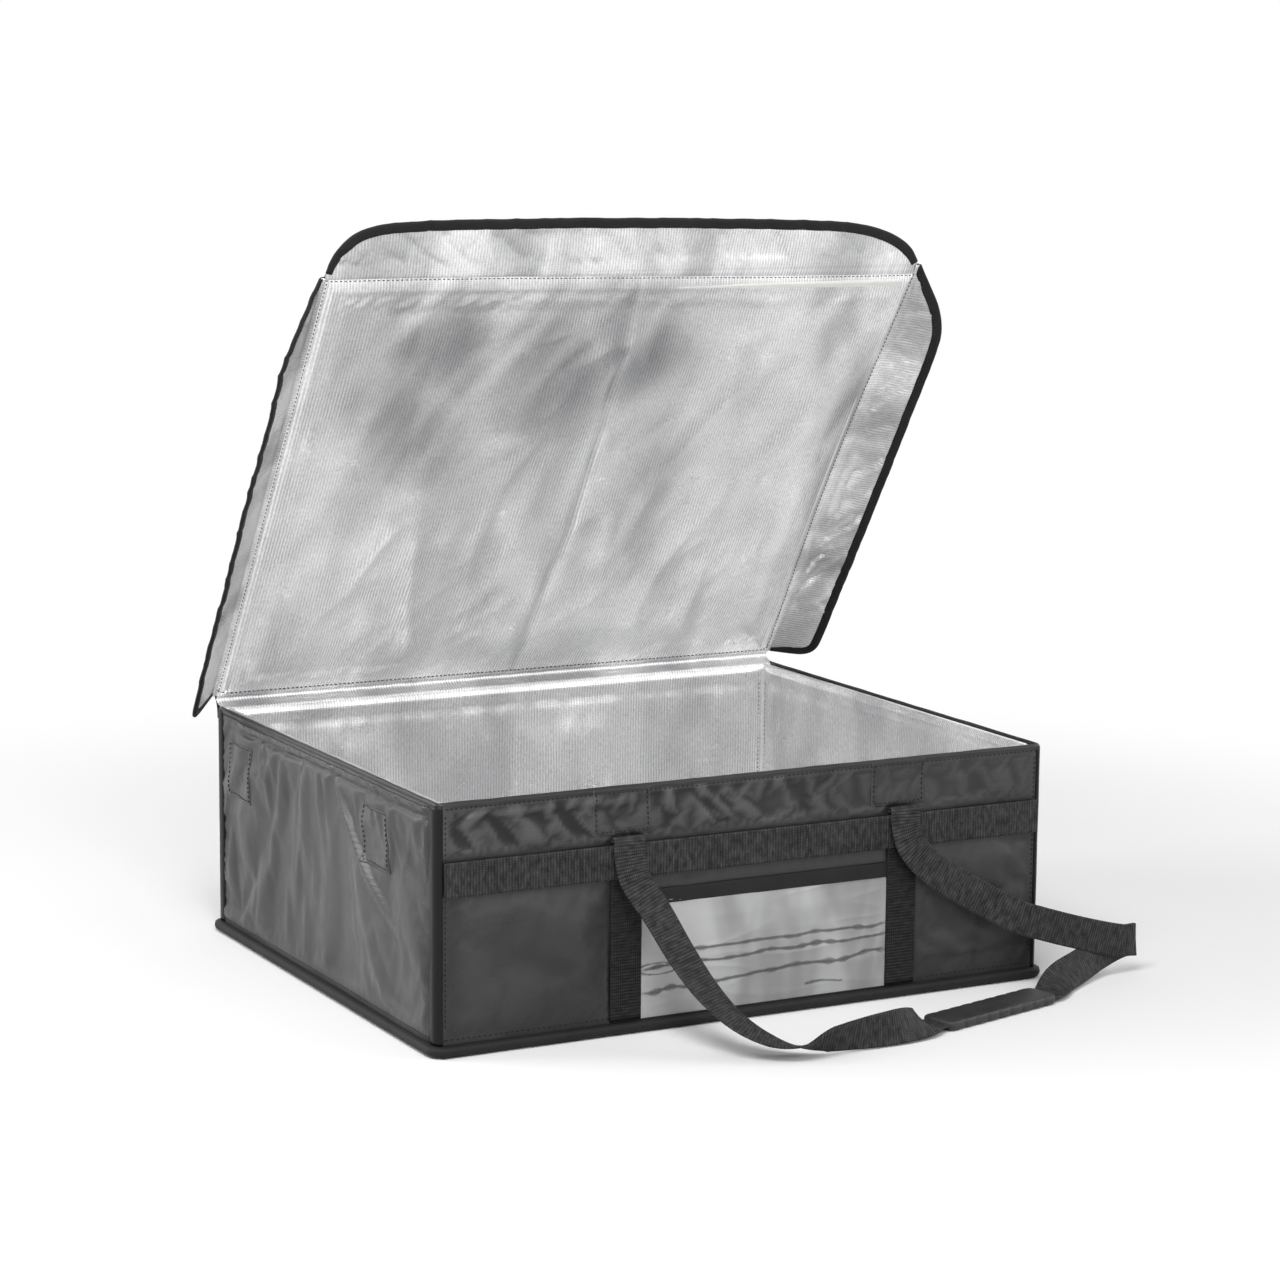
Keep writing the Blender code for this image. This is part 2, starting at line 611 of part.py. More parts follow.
def make_handle(side, sign_y):
    """sign_y is -1 for the front handle and 1 for its mirror image at the back."""
    axis_y = sign_y * (DEPTH / 2 + HANDLE_AXIS_OUT)
    frame = empty(side + "_handle_axis", (LEFT, axis_y, HANDLE_AXIS_Z))

    def place(point):
        return Vector((point.x, -sign_y * point.y, point.z))

    ribbon(side + "_handle_strap", smooth_route(handle_route()), place, WEBBING_BLACK, frame)

    start, end, heading = grip_ends()
    across = Vector((-heading.y, heading.x, 0.0))
    outer = rounded_rectangle(GRIP_WIDTH / 2, GRIP_THICKNESS / 2, GRIP_ROUND)
    inner = rounded_rectangle(WEBBING_WIDTH / 2 + GRIP_CLEARANCE,
                              WEBBING / 2 + GRIP_CLEARANCE, GRIP_CLEARANCE)

    def sleeve_place(a, b, level):
        return place(start + heading * level + across * a + Vector((0.0, 0.0, b)))

    band_between(side + "_handle_grip", outer, inner, 0.0, GRIP_LENGTH, sleeve_place,
                 GRIP_RUBBER, frame)


make_base()
make_walls()
make_webbing("front", -1)
make_webbing("back", 1)
make_pocket()
make_patches()
rod("lid_hinge_seam", (-LID_HALF_WIDTH, BACK, HINGE_Z), (LID_HALF_WIDTH, BACK, HINGE_Z),
    HINGE_SEAM_RADIUS, COATED_FABRIC)
lid_axis = empty("lid_axis", (0.0, BACK, HINGE_Z), None, (-LID_OPEN, 0.0, 0.0))
make_lid(lid_axis)
make_lid_seam(lid_axis)
make_flaps(lid_axis)
make_handle("front", -1)
make_handle("back", 1)
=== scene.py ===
# Insulated food delivery bag: a soft box of coated fabric over foam, lined with woven foil, with a
# padded lid that carries three bound flaps, two webbing handles and a clear pocket on its front.
# It stands open, its lid leaning forward over the box and the front handle lying on the floor.
import math

import bmesh
import bpy
from mathutils import Matrix, Vector, noise
from mathutils.bvhtree import BVHTree


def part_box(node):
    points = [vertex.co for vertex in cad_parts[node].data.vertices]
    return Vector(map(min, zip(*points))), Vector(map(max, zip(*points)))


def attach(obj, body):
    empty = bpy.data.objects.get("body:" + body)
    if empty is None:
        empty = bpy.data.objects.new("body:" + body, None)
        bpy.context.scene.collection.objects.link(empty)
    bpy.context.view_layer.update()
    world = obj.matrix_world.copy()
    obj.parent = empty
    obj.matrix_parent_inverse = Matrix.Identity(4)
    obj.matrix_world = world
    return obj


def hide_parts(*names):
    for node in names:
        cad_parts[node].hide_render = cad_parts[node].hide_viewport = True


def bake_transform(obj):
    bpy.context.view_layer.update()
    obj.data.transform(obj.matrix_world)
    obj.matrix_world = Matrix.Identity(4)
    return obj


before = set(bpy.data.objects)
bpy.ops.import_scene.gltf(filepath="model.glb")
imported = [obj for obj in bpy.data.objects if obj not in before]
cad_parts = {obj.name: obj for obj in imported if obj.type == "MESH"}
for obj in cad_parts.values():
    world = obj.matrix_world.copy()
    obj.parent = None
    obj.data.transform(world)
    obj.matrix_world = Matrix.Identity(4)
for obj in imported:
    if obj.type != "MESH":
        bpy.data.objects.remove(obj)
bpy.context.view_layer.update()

# Camera. It stands to the left of the bag's front, a little above it, with a long lens. Its place
# and turn were solved from the corners of the box.
YAW = math.radians(28.2)
PITCH = math.radians(9.43)
ROLL = math.radians(0.54)
ahead = Vector((math.sin(YAW) * math.cos(PITCH), math.cos(YAW) * math.cos(PITCH), -math.sin(PITCH)))
level_right = Vector((math.cos(YAW), -math.sin(YAW), 0.0))
level_up = level_right.cross(ahead)
camera_right = level_right * math.cos(ROLL) + level_up * math.sin(ROLL)
camera_up = level_up * math.cos(ROLL) - level_right * math.sin(ROLL)
camera_lens = bpy.data.cameras.new("camera")
camera_lens.lens = 98.41
camera_lens.sensor_width = 36.0
camera_lens.clip_end = 60.0
camera = bpy.data.objects.new("camera", camera_lens)
bpy.context.scene.collection.objects.link(camera)
turn = Matrix((camera_right, camera_up, -ahead)).transposed().to_4x4()
camera.matrix_world = Matrix.Translation((-1.2369, -2.3378, 0.6852)) @ turn
bpy.context.scene.camera = camera
bpy.context.scene.view_settings.view_transform = "Standard"


# Studio. A white table that runs out into a white background, soft lamps over the front left, at
# the back left and low in front, and a weak one at the right. The table keeps the shadow.
def put(tree, kind, settings=None, sockets=None):
    """Add a node, set its own settings, and fill its inputs with numbers or with other sockets."""
    node = tree.nodes.new(kind)
    for name, value in (settings or {}).items():
        setattr(node, name, value)
    for name, value in (sockets or {}).items():
        if isinstance(value, bpy.types.NodeSocket):
            tree.links.new(value, node.inputs[name])
        else:
            node.inputs[name].default_value = value
    return node


def maths(tree, operation, first, second, clamp=False):
    """One number worked out from two."""
    return put(tree, "ShaderNodeMath", {"operation": operation, "use_clamp": clamp},
               {0: first, 1: second}).outputs[0]


def cloudy(tree, place, scale, detail=2.0, roughness=0.5, distortion=0.0):
    """A cloudy field from 0 to 1."""
    return put(tree, "ShaderNodeTexNoise", None,
               {"Vector": place, "Scale": scale, "Detail": detail, "Roughness": roughness,
                "Distortion": distortion}).outputs["Fac"]


def spread(tree, value, source=(0.0, 1.0), target=(0.0, 1.0), soft=False):
    """The same value moved from one range to another."""
    return put(tree, "ShaderNodeMapRange", {"interpolation_type": "SMOOTHSTEP" if soft else "LINEAR"},
               {"Value": value, "From Min": source[0], "From Max": source[1], "To Min": target[0],
                "To Max": target[1]}).outputs["Result"]


def object_place(tree):
    return put(tree, "ShaderNodeTexCoord").outputs["Object"]


def seen_directly(tree, path):
    """1 where the camera, a reflection or clear plastic looks at the background."""
    shine = maths(tree, "MAXIMUM", path.outputs["Is Camera Ray"], path.outputs["Is Glossy Ray"])
    return maths(tree, "MAXIMUM", shine, path.outputs["Is Transmission Ray"])


world = bpy.data.worlds.new("studio")
bpy.context.scene.world = world
world.use_nodes = True
air = world.node_tree
air.nodes.clear()
fill = put(air, "ShaderNodeBackground", None, {"Color": (1.0, 1.0, 1.0, 1.0), "Strength": 0.38})
light_path = put(air, "ShaderNodeLightPath")
# A shiny surface sees a white room with large dimmer stretches, which draw out its folds.
room = cloudy(air, put(air, "ShaderNodeTexCoord").outputs["Generated"], 2.3, 1.0, 0.4)
stretches = spread(air, room, (0.42, 0.58), (0.65, 1.95), soft=True)
brightness = put(air, "ShaderNodeMix", {"data_type": "FLOAT"},
                 {0: light_path.outputs["Is Glossy Ray"], 2: 1.0, 3: stretches})
white = put(air, "ShaderNodeBackground", None,
            {"Color": (1.0, 1.0, 1.0, 1.0), "Strength": brightness.outputs[0]})
either = put(air, "ShaderNodeMixShader", None,
             {0: seen_directly(air, light_path), 1: fill.outputs[0], 2: white.outputs[0]})
put(air, "ShaderNodeOutputWorld", None, {"Surface": either.outputs[0]})

table_mesh = bmesh.new()
bmesh.ops.create_circle(table_mesh, cap_ends=True, segments=96, radius=9.0)
bmesh.ops.translate(table_mesh, vec=(0.0, 0.0, -0.0004), verts=table_mesh.verts)
table_data = bpy.data.meshes.new("table")
table_mesh.to_mesh(table_data)
table_mesh.free()
table = bpy.data.objects.new("table", table_data)
bpy.context.scene.collection.objects.link(table)
paint = bpy.data.materials.new("table_white")
paint.use_nodes = True
coat = paint.node_tree
coat.nodes.clear()
distance = put(coat, "ShaderNodeVectorMath", {"operation": "LENGTH"}, {0: object_place(coat)})
far_off = spread(coat, distance.outputs["Value"], (0.48, 1.15), soft=True)
matt = put(coat, "ShaderNodeBsdfDiffuse", None, {"Color": (0.97, 0.97, 0.97, 1.0)})
bright = put(coat, "ShaderNodeEmission", None, {"Color": (1.0, 1.0, 1.0, 1.0), "Strength": 1.0})
open_view = maths(coat, "MULTIPLY", far_off, seen_directly(coat, put(coat, "ShaderNodeLightPath")))
top = put(coat, "ShaderNodeMixShader", None, {0: open_view, 1: matt.outputs[0], 2: bright.outputs[0]})
put(coat, "ShaderNodeOutputMaterial", None, {"Surface": top.outputs[0]})
table_data.materials.append(paint)


def softbox(name, place, aim, width, height, watts):
    lamp = bpy.data.lights.new(name, "AREA")
    lamp.shape = "RECTANGLE"
    lamp.size = width
    lamp.size_y = height
    lamp.energy = watts
    holder = bpy.data.objects.new(name, lamp)
    bpy.context.scene.collection.objects.link(holder)
    holder.location = place
    holder.rotation_euler = (Vector(aim) - Vector(place)).to_track_quat("-Z", "Y").to_euler()


softbox("overhead_lamp", (-1.1, -1.2, 2.2), (0.0, 0.0, 0.15), 1.3, 1.0, 34.0)
softbox("back_left_lamp", (-2.0, 1.1, 0.9), (0.0, 0.0, 0.15), 1.2, 1.2, 27.0)
softbox("right_lamp", (2.0, -0.9, 1.4), (0.0, 0.0, 0.15), 1.2, 1.2, 9.0)
softbox("front_lamp", (-0.6, -2.6, 1.5), (0.0, 0.1, 0.30), 1.0, 1.0, 19.0)


# Outer cover. One length of charcoal PVC-coated fabric goes right round the box over its foam,
# sewn into the base seam below and turned over the rim above. It is gathered under the rim, held
# flat where webbing is sewn through it, and sags a little everywhere else.
WIDTH = 0.500
DEPTH = 0.410
RIM = 0.180
CORNER_RADIUS = 0.0055
COVER_FOOT = 0.0080
BAND_LOW = 0.1135
BAND_HIGH = 0.1385
STRIP_CENTRES = (-0.103, 0.127)
WEBBING_WIDTH = 0.025


def rise(value, low, high):
    """0 below low, 1 above high, and a smooth step between."""
    t = min(1.0, max(0.0, (value - low) / (high - low)))
    return t * t * (3 - 2 * t)


def hump(value, centre, half_width):
    """1 at the centre, and 0 a half width away on either side."""
    t = min(1.0, abs(value - centre) / half_width)
    return (1 - t * t) ** 2


def waver(a, b, seed):
    return noise.noise(Vector((a, b, seed)))


def crease(a, b, seed):
    """A field of sharp ridges with soft ground between them, from 0 to 1."""
    return max(0.0, 1.0 - 2.6 * abs(waver(a, b, seed))) ** 1.6


def box_path(half_x, half_y, radius, spacing, corner_steps):
    """Points round the box from its front left corner: place, way out, wall, and way along it."""
    points = []
    walls = (("front", Vector((1, 0, 0)), Vector((0, -1, 0)), half_x, half_y),
             ("right", Vector((0, 1, 0)), Vector((1, 0, 0)), half_y, half_x),
             ("back", Vector((-1, 0, 0)), Vector((0, 1, 0)), half_x, half_y),
             ("left", Vector((0, -1, 0)), Vector((-1, 0, 0)), half_y, half_x))
    for wall, along, out, half, face in walls:
        straight = 2 * (half - radius)
        steps = max(2, round(straight / spacing))
        for i in range(steps):
            way = -half + radius + straight * i / steps
            points.append((along * way + out * face, out, wall, way))
        centre = along * (half - radius) + out * (face - radius)
        for i in range(corner_steps):
            angle = math.pi / 2 * i / corner_steps
            direction = out * math.cos(angle) + along * math.sin(angle)
            points.append((centre + direction * radius, direction, "corner", half))
    points.append(points[0])
    return points


# A fold of a side wall: how far from the front and how high its top is, how far it runs down,
# how far it leans forward on the way, how wide it is and how far it stands out.
SIDE_FOLDS = ((0.176, 0.166, 0.085, 0.096, 0.010, 0.0030), (0.232, 0.160, 0.060, -0.006, 0.012, 0.0026),
              (0.274, 0.158, 0.052, -0.010, 0.014, 0.0024), (0.205, 0.158, 0.040, 0.010, 0.006, -0.0016),
              (0.300, 0.150, 0.030, 0.004, 0.008, -0.0015), (0.060, 0.150, 0.100, 0.040, 0.016, 0.0016),
              (0.024, 0.135, 0.030, 0.003, 0.008, -0.0020), (0.148, 0.120, 0.080, 0.050, 0.020, 0.0016),
              (0.335, 0.045, 0.032, -0.020, 0.014, 0.0020), (0.385, 0.080, 0.050, 0.004, 0.012, 0.0022),
              (0.110, 0.060, 0.045, 0.030, 0.018, 0.0014))


def side_relief(from_front, z, seed):
    drop = RIM - z
    hem = 0.0017 * math.sin(math.pi * min(1.0, drop / 0.0115)) if drop < 0.0115 else 0.0
    twist = crease((from_front + 1.1 * drop) / 0.0135, drop / 0.03, seed)
    hem += 0.0013 * twist * hump(drop, 0.006, 0.008)
    groove = -0.0011 * hump(drop, 0.0125, 0.0035)
    gathers = 0.0017 * crease(from_front / 0.019 + 3.0 * drop, drop / 0.06, seed + 4.0)
    gathers *= rise(drop, 0.012, 0.020) * (1 - rise(drop, 0.026, 0.062))
    folds = 0.0
    for start, top, run, lean, width, height in SIDE_FOLDS:
        t = (top - z) / run
        if -0.25 < t < 1.25:
            middle = start - lean * t * (0.55 + 0.45 * t)
            widening = width * (0.75 + 0.6 * t)
            folds += height * hump(from_front, middle, widening) * hump(t, 0.42, 0.80)
    belly = 0.0016 * waver(from_front / 0.11, z / 0.09, seed + 9.0)
    belly += 0.0005 * waver(from_front / 0.03, z / 0.045, seed + 12.0)
    foot = 0.0013 * hump(z, 0.016, 0.010) * (0.6 + waver(from_front / 0.05, 0.0, seed + 15.0))
    return hem + groove + gathers + folds + belly * rise(drop, 0.010, 0.030) + foot


def held_by_webbing(x, z):
    """1 where the front or back cover is sewn under webbing, falling to 0 a few millimetres off."""
    band = rise(z, BAND_LOW - 0.005, BAND_LOW) * (1 - rise(z, BAND_HIGH, BAND_HIGH + 0.006))
    held = band
    for centre in STRIP_CENTRES:
        beside = abs(x - centre) - WEBBING_WIDTH / 2
        held = max(held, (1 - rise(beside, 0.0, 0.005)) * (1 - rise(z, BAND_HIGH, BAND_HIGH + 0.008)))
    return held


# A fold of the front, between rim and band: where its middle is across and how high, half its
# length, how far it leans right on its way down, half its width, and how far it stands out.
FRONT_FOLDS = ((-0.232, 0.1520, 0.014, 0.012, 0.009, -0.0030),
               (-0.2240, 0.1665, 0.007, -0.020, 0.010, 0.0022),
               (-0.200, 0.1560, 0.015, 0.022, 0.008, -0.0028),
               (-0.180, 0.1545, 0.016, 0.024, 0.010, 0.0016),
               (-0.146, 0.1570, 0.015, 0.022, 0.009, -0.0028),
               (-0.124, 0.1540, 0.014, 0.016, 0.010, 0.0016),
               (-0.070, 0.1690, 0.010, 0.006, 0.005, 0.0018),
               (-0.042, 0.1720, 0.009, 0.004, 0.006, 0.0024),
               (-0.032, 0.1550, 0.013, 0.024, 0.008, -0.0026),
               (-0.012, 0.1600, 0.013, 0.020, 0.010, 0.0014),
               (0.022, 0.1730, 0.008, 0.004, 0.006, 0.0020),
               (0.042, 0.1560, 0.014, 0.016, 0.012, -0.0014),
               (0.076, 0.1700, 0.008, 0.006, 0.008, 0.0014),
               (0.168, 0.1700, 0.010, 0.008, 0.012, 0.0014),
               (0.190, 0.1560, 0.014, 0.014, 0.012, -0.0012),
               (0.214, 0.1620, 0.014, 0.008, 0.010, 0.0012))
POCKET_MIDDLE = 0.012


def behind_pocket(x, z):
    """1 where the clear pocket lies flat against the cover."""
    return (1 - rise(abs(x - POCKET_MIDDLE), 0.098, 0.106)) * (1 - rise(z, 0.101, 0.108))


def front_relief(x, z, seed, pocket):
    drop = RIM - z
    leftness = 1 - 0.60 * rise(x, -0.03, 0.13)
    edge = 0.0007 * hump(drop, 0.0042, 0.004)
    reach = rise(drop, 0.0040, 0.0085) * (1 - rise(drop, 0.010, 0.022))
    gathers = 0.0015 * (crease((x + 0.4 * drop) / 0.019, drop / 0.034, seed) - 0.3) * reach
    swell = 0.0014 * waver((x + 0.6 * drop) / 0.050, drop / 0.030, seed + 5.0) * rise(drop, 0.006, 0.014)
    swell += 0.0013 * hump(drop, 0.0095 + 0.002 * waver(x / 0.03, 0.0, seed + 6.0), 0.005) * (
        1 - rise(x, -0.115, -0.075))
    for middle, level, half_long, lean, half_wide, proud in FRONT_FOLDS:
        t = (level - z) / half_long
        if abs(t) < 1.4:
            beside = x - middle - 0.5 * lean * t + 0.0025 * waver(z / 0.012, middle * 40, seed + 7.0)
            swell += proud * hump(beside, 0.0, half_wide * (1.15 + 0.25 * t)) * hump(t, 0.0, 1.4)
    puckers = 0.0009 * crease(x / 0.008, drop / 0.012, seed + 7.0) * hump(z, BAND_HIGH + 0.003, 0.006)
    belly = 0.0010 + 0.0015 * waver(x / 0.12, z / 0.08, seed + 8.0)
    belly += 0.0009 * hump(x + 0.6 * z, -0.10, 0.035)
    free = 1 - held_by_webbing(x, z)
    lower = belly * rise(BAND_LOW - z, 0.0, 0.018) * rise(z, 0.010, 0.030)
    upper = (gathers + swell) * rise(z, BAND_HIGH + 0.001, 0.152) * leftness + puckers
    flat = 1 - behind_pocket(x, z) if pocket else 1.0
    return edge + (upper + lower) * free * flat


FOAM_GAP = 0.0010


def stopped_by_foam(proud):
    """The cover can sink a millimetre or two, and then meets the foam behind it."""
    if proud > -FOAM_GAP:
        return proud
    return -FOAM_GAP - FOAM_GAP * (1 - math.exp((proud + FOAM_GAP) / FOAM_GAP))


def cover_relief(wall, way, z):
    """How far the cover stands out from the box's flat side at this place."""
    if wall == "corner":
        return 0.0
    seeds = {"front": 2.3, "back": 31.7, "left": 7.9, "right": 47.1}
    half = WIDTH / 2 if wall in ("front", "back") else DEPTH / 2
    near_corner = rise(half - abs(way), 0.006, 0.022)
    if wall in ("front", "back"):
        x = way if wall == "front" else -way
        return stopped_by_foam(front_relief(x, z, seeds[wall], wall == "front") * near_corner)
    from_front = DEPTH / 2 + way if wall == "right" else DEPTH / 2 - way
    # Beside the hinge the rim is sewn flatter, so that the end of the flap swings past it.
    near_corner *= 1 - 0.85 * rise(from_front, 0.352, 0.371) * rise(z, 0.160, 0.170)
    return stopped_by_foam(side_relief(from_front, z, seeds[wall]) * near_corner)


def cloth_piece(across, up, place):
    """A sheet of cloth made from a grid. place(i, j) gives a point's place and its flat place."""
    mesh_data = bmesh.new()
    bmesh.ops.create_grid(mesh_data, x_segments=across, y_segments=up, size=0.5)
    flat_map = mesh_data.loops.layers.uv.new("cloth")
    spots = {}
    for vertex in mesh_data.verts:
        column, row = round((vertex.co.x + 0.5) * across), round((vertex.co.y + 0.5) * up)
        spots[vertex.index] = place(column, row)
    for face in mesh_data.faces:
        for loop in face.loops:
            loop[flat_map].uv = spots[loop.vert.index][1]
    for vertex in mesh_data.verts:
        vertex.co = spots[vertex.index][0]
    bmesh.ops.remove_doubles(mesh_data, verts=mesh_data.verts, dist=0.00002)
    bmesh.ops.recalc_face_normals(mesh_data, faces=mesh_data.faces)
    return mesh_data


def finished(name, mesh_data, finish):
    """Turn the mesh into a named piece with its material."""
    data = bpy.data.meshes.new(name)
    mesh_data.to_mesh(data)
    mesh_data.free()
    made = bpy.data.objects.new(name, data)
    bpy.context.scene.collection.objects.link(made)
    data.materials.append(finish)
    for polygon in data.polygons:
        polygon.use_smooth = True
    return made


def weave_group():
    """Ribs one way and threads the other, from a flat map in metres. Gives a height, a painted shade
    that is darker between threads, and an uneven field for wear."""
    group = bpy.data.node_groups.new("woven_threads", "ShaderNodeTree")
    for name, kind in (("Flat Place", "NodeSocketVector"), ("Rib Pitch", "NodeSocketFloat"),
                       ("Thread Pitch", "NodeSocketFloat"), ("Rib Share", "NodeSocketFloat"),
                       ("Unevenness", "NodeSocketFloat"), ("Darkness", "NodeSocketFloat")):
        group.interface.new_socket(name=name, in_out="INPUT", socket_type=kind)
    for name in ("Height", "Shade", "Wear"):
        group.interface.new_socket(name=name, in_out="OUTPUT", socket_type="NodeSocketFloat")
    given = put(group, "NodeGroupInput").outputs
    wander = cloudy(group, given["Flat Place"], 60.0, 3.0, 0.6)
    drift = maths(group, "MULTIPLY", wander, given["Unevenness"])
    apart = put(group, "ShaderNodeSeparateXYZ", None, {0: given["Flat Place"]})
    waves = []
    for axis, pitch in (("X", "Rib Pitch"), ("Y", "Thread Pitch")):
        moved = maths(group, "ADD", maths(group, "DIVIDE", apart.outputs[axis], given[pitch]), drift)
        swing = maths(group, "SINE", maths(group, "MULTIPLY", moved, 2 * math.pi), 0.0)
        waves.append(spread(group, swing, (-1.0, 1.0)))
    woven = put(group, "ShaderNodeMix", {"data_type": "FLOAT"},
                {0: given["Rib Share"], 2: waves[1], 3: waves[0]}).outputs[0]
    patchy = cloudy(group, given["Flat Place"], 22.0, 6.0, 0.62)
    strength = spread(group, patchy, (0.32, 0.68), (0.40, 0.95))
    dim = maths(group, "MULTIPLY", maths(group, "SUBTRACT", 1.0, woven), given["Darkness"])
    put(group, "NodeGroupOutput", None,
        {"Height": maths(group, "MULTIPLY", woven, strength),
         "Shade": maths(group, "SUBTRACT", 1.0, maths(group, "MULTIPLY", dim, strength)),
         "Wear": patchy})
    return group


woven_threads = weave_group()


def material_base(name, roughness, metallic=0.0, specular=0.5):
    made = bpy.data.materials.new(name)
    made.use_nodes = True
    tree = made.node_tree
    shader = tree.nodes["Principled BSDF"]
    shader.inputs["Roughness"].default_value = roughness
    shader.inputs["Metallic"].default_value = metallic
    shader.inputs["Specular IOR Level"].default_value = specular
    return made, tree, shader


def threads(tree, rib, thread, rib_share, unevenness, darkness, turned=False):
    """Place the weave in a material, reading the piece's flat map."""
    flat = put(tree, "ShaderNodeUVMap", {"uv_map": "cloth"}).outputs["UV"]
    if turned:
        flat = put(tree, "ShaderNodeMapping", None,
                   {"Vector": flat, "Rotation": (0.0, 0.0, math.pi / 2)}).outputs["Vector"]
    return put(tree, "ShaderNodeGroup", {"node_tree": woven_threads},
               {"Flat Place": flat, "Rib Pitch": rib, "Thread Pitch": thread, "Rib Share": rib_share,
                "Unevenness": unevenness, "Darkness": darkness}), flat


def tinted(tree, shader, shade, dark, light, mask):
    """A colour that runs from dark to light over the surface, darkened between the threads."""
    blend = put(tree, "ShaderNodeMix", {"data_type": "RGBA"},
                {0: mask, 6: (*dark, 1.0), 7: (*light, 1.0)})
    deep = put(tree, "ShaderNodeMix", {"data_type": "RGBA", "blend_type": "MULTIPLY"},
               {0: 1.0, 6: blend.outputs[2]})
    tree.links.new(shade, deep.inputs[7])
    tree.links.new(deep.outputs[2], shader.inputs["Base Color"])


def bumped(tree, shader, layers):
    """Lay bumps over one another: (height, strength, depth in metres), the broadest first."""
    normal = None
    for height, strength, depth in layers:
        inputs = {"Height": height, "Strength": strength, "Distance": depth}
        if normal is not None:
            inputs["Normal"] = normal
        normal = put(tree, "ShaderNodeBump", None, inputs).outputs["Normal"]
    tree.links.new(normal, shader.inputs["Normal"])


def kept_on_mesh(tree, name):
    """A value that is kept on the piece's own points."""
    return put(tree, "ShaderNodeAttribute", {"attribute_name": name}).outputs["Fac"]


# The coating is a satin skin over a close weave: the threads only just print through it. Its ridges
# get a painted highlight and its hollows and margins painted shade, which is kept on the mesh.
def coated_finish(name, dark, light, painted_shade_mark, specular=0.36):
    made, tree, shader = material_base(name, 0.31, specular=specular)
    weave, flat = threads(tree, 0.0012, 0.0021, 0.38, 0.35, 0.17)
    mask = cloudy(tree, flat, 9.0, 5.0, 0.55)
    # Painted highlights on ridges and painted shade in hollows, kept on the mesh, move the colour from
    # dark to light.
    if painted_shade_mark:
        uneven = spread(tree, mask, (0.3, 0.7), (-0.06, 0.06))
        mask = maths(tree, "ADD", kept_on_mesh(tree, "painted_ridge_light"), uneven, clamp=True)
    tinted(tree, shader, weave.outputs["Shade"], dark, light, mask)
    sheen = spread(tree, weave.outputs["Wear"], (0.3, 0.7), (0.27, 0.43))
    tree.links.new(sheen, shader.inputs["Roughness"])
    rumple = cloudy(tree, flat, 30.0, 3.0, distortion=0.5)
    soft = cloudy(tree, flat, 110.0, 4.0)
    bumped(tree, shader, ((rumple, 0.35, 0.0014), (soft, 0.35, 0.0004),
                          (weave.outputs["Height"], 0.45, 0.00014)))
    return made


coated_fabric = coated_finish("coated_fabric_charcoal", (0.024, 0.024, 0.025),
                              (0.040, 0.040, 0.041), False)
# The same fabric with a much wider range from dark to light, which carries painted highlights and painted
# shade.
painted_light_fabric = coated_finish("coated_fabric_painted_light", (0.004, 0.004, 0.004),
                               (0.120, 0.120, 0.123), True)


def even_ground(spot):
    """The same painted shade and the same painted ridge highlights all over the piece."""
    return 0.28, 0.16


def paint_ridge_light(piece, depth, rounds, ground=even_ground):
    """Keep on the mesh its painted light, from 0 to 1: painted highlights on ridges, painted shade in
    hollows. ground gives a place's painted shade and how much its ridges stand out from its hollows."""
    shell = bmesh.new()
    shell.from_mesh(piece.data)
    shell.verts.ensure_lookup_table()
    begin = [vertex.co.copy() for vertex in shell.verts]
    for _ in range(rounds):
        bmesh.ops.smooth_vert(shell, verts=shell.verts, factor=0.5, use_axis_x=True, use_axis_y=True,
                              use_axis_z=True)
    ways = [vertex.normal.copy() for vertex in piece.data.vertices]
    field = piece.data.attributes.new("painted_ridge_light", "FLOAT", "POINT")
    for index, vertex in enumerate(shell.verts):
        proud = (begin[index] - vertex.co).dot(ways[index])
        shade, strength = ground(begin[index])
        field.data[index].value = min(1.0, max(0.0, shade + strength * math.tanh(proud / depth)))
    shell.free()


def settle(piece, held, growth, frames, reach, stop):
    """Let cloth find its own folds between the places where it is sewn down. held gives each
    point's hold, from 0 free to 1 sewn. No point ends further than reach from where it began, and
    stop keeps a point out of what lies behind the cloth."""
    start = [vertex.co.copy() for vertex in piece.data.vertices]
    group = piece.vertex_groups.new(name="sewn")
    for index, weight in enumerate(held):
        if weight > 0.0:
            group.add([index], weight, "REPLACE")
    cloth = piece.modifiers.new("cloth", "CLOTH")
    cloth.settings.quality = 4
    cloth.settings.mass = 0.2
    cloth.settings.tension_stiffness = 12.0
    cloth.settings.compression_stiffness = 12.0
    cloth.settings.shear_stiffness = 4.0
    cloth.settings.bending_stiffness = 0.3
    cloth.settings.vertex_group_mass = "sewn"
    cloth.settings.pin_stiffness = 1.0
    cloth.settings.shrink_min = -growth
    cloth.settings.effector_weights.gravity = 0.0
    cloth.point_cache.frame_start = 1
    cloth.point_cache.frame_end = frames
    for step in range(1, frames + 1):
        bpy.context.scene.frame_set(step)
    seen = piece.evaluated_get(bpy.context.evaluated_depsgraph_get())
    ends = [vertex.co.copy() for vertex in seen.data.vertices]
    piece.modifiers.remove(cloth)
    piece.vertex_groups.remove(group)
    bpy.context.scene.frame_set(1)
    for vertex, begin, end in zip(piece.data.vertices, start, ends):
        moved = end - begin
        if moved.length > reach:
            moved *= reach / moved.length
        vertex.co = stop(begin + moved)
    piece.data.update()


COVER_PATH = box_path(WIDTH / 2, DEPTH / 2, CORNER_RADIUS, 0.0028, 5)
# The rows lie closer between the band and the rim, where the cover is gathered.
COVER_ROWS = [COVER_FOOT + 0.1300 * i / 36 for i in range(36)]
COVER_ROWS += [0.1380 + 0.0370 * i / 22 for i in range(23)]
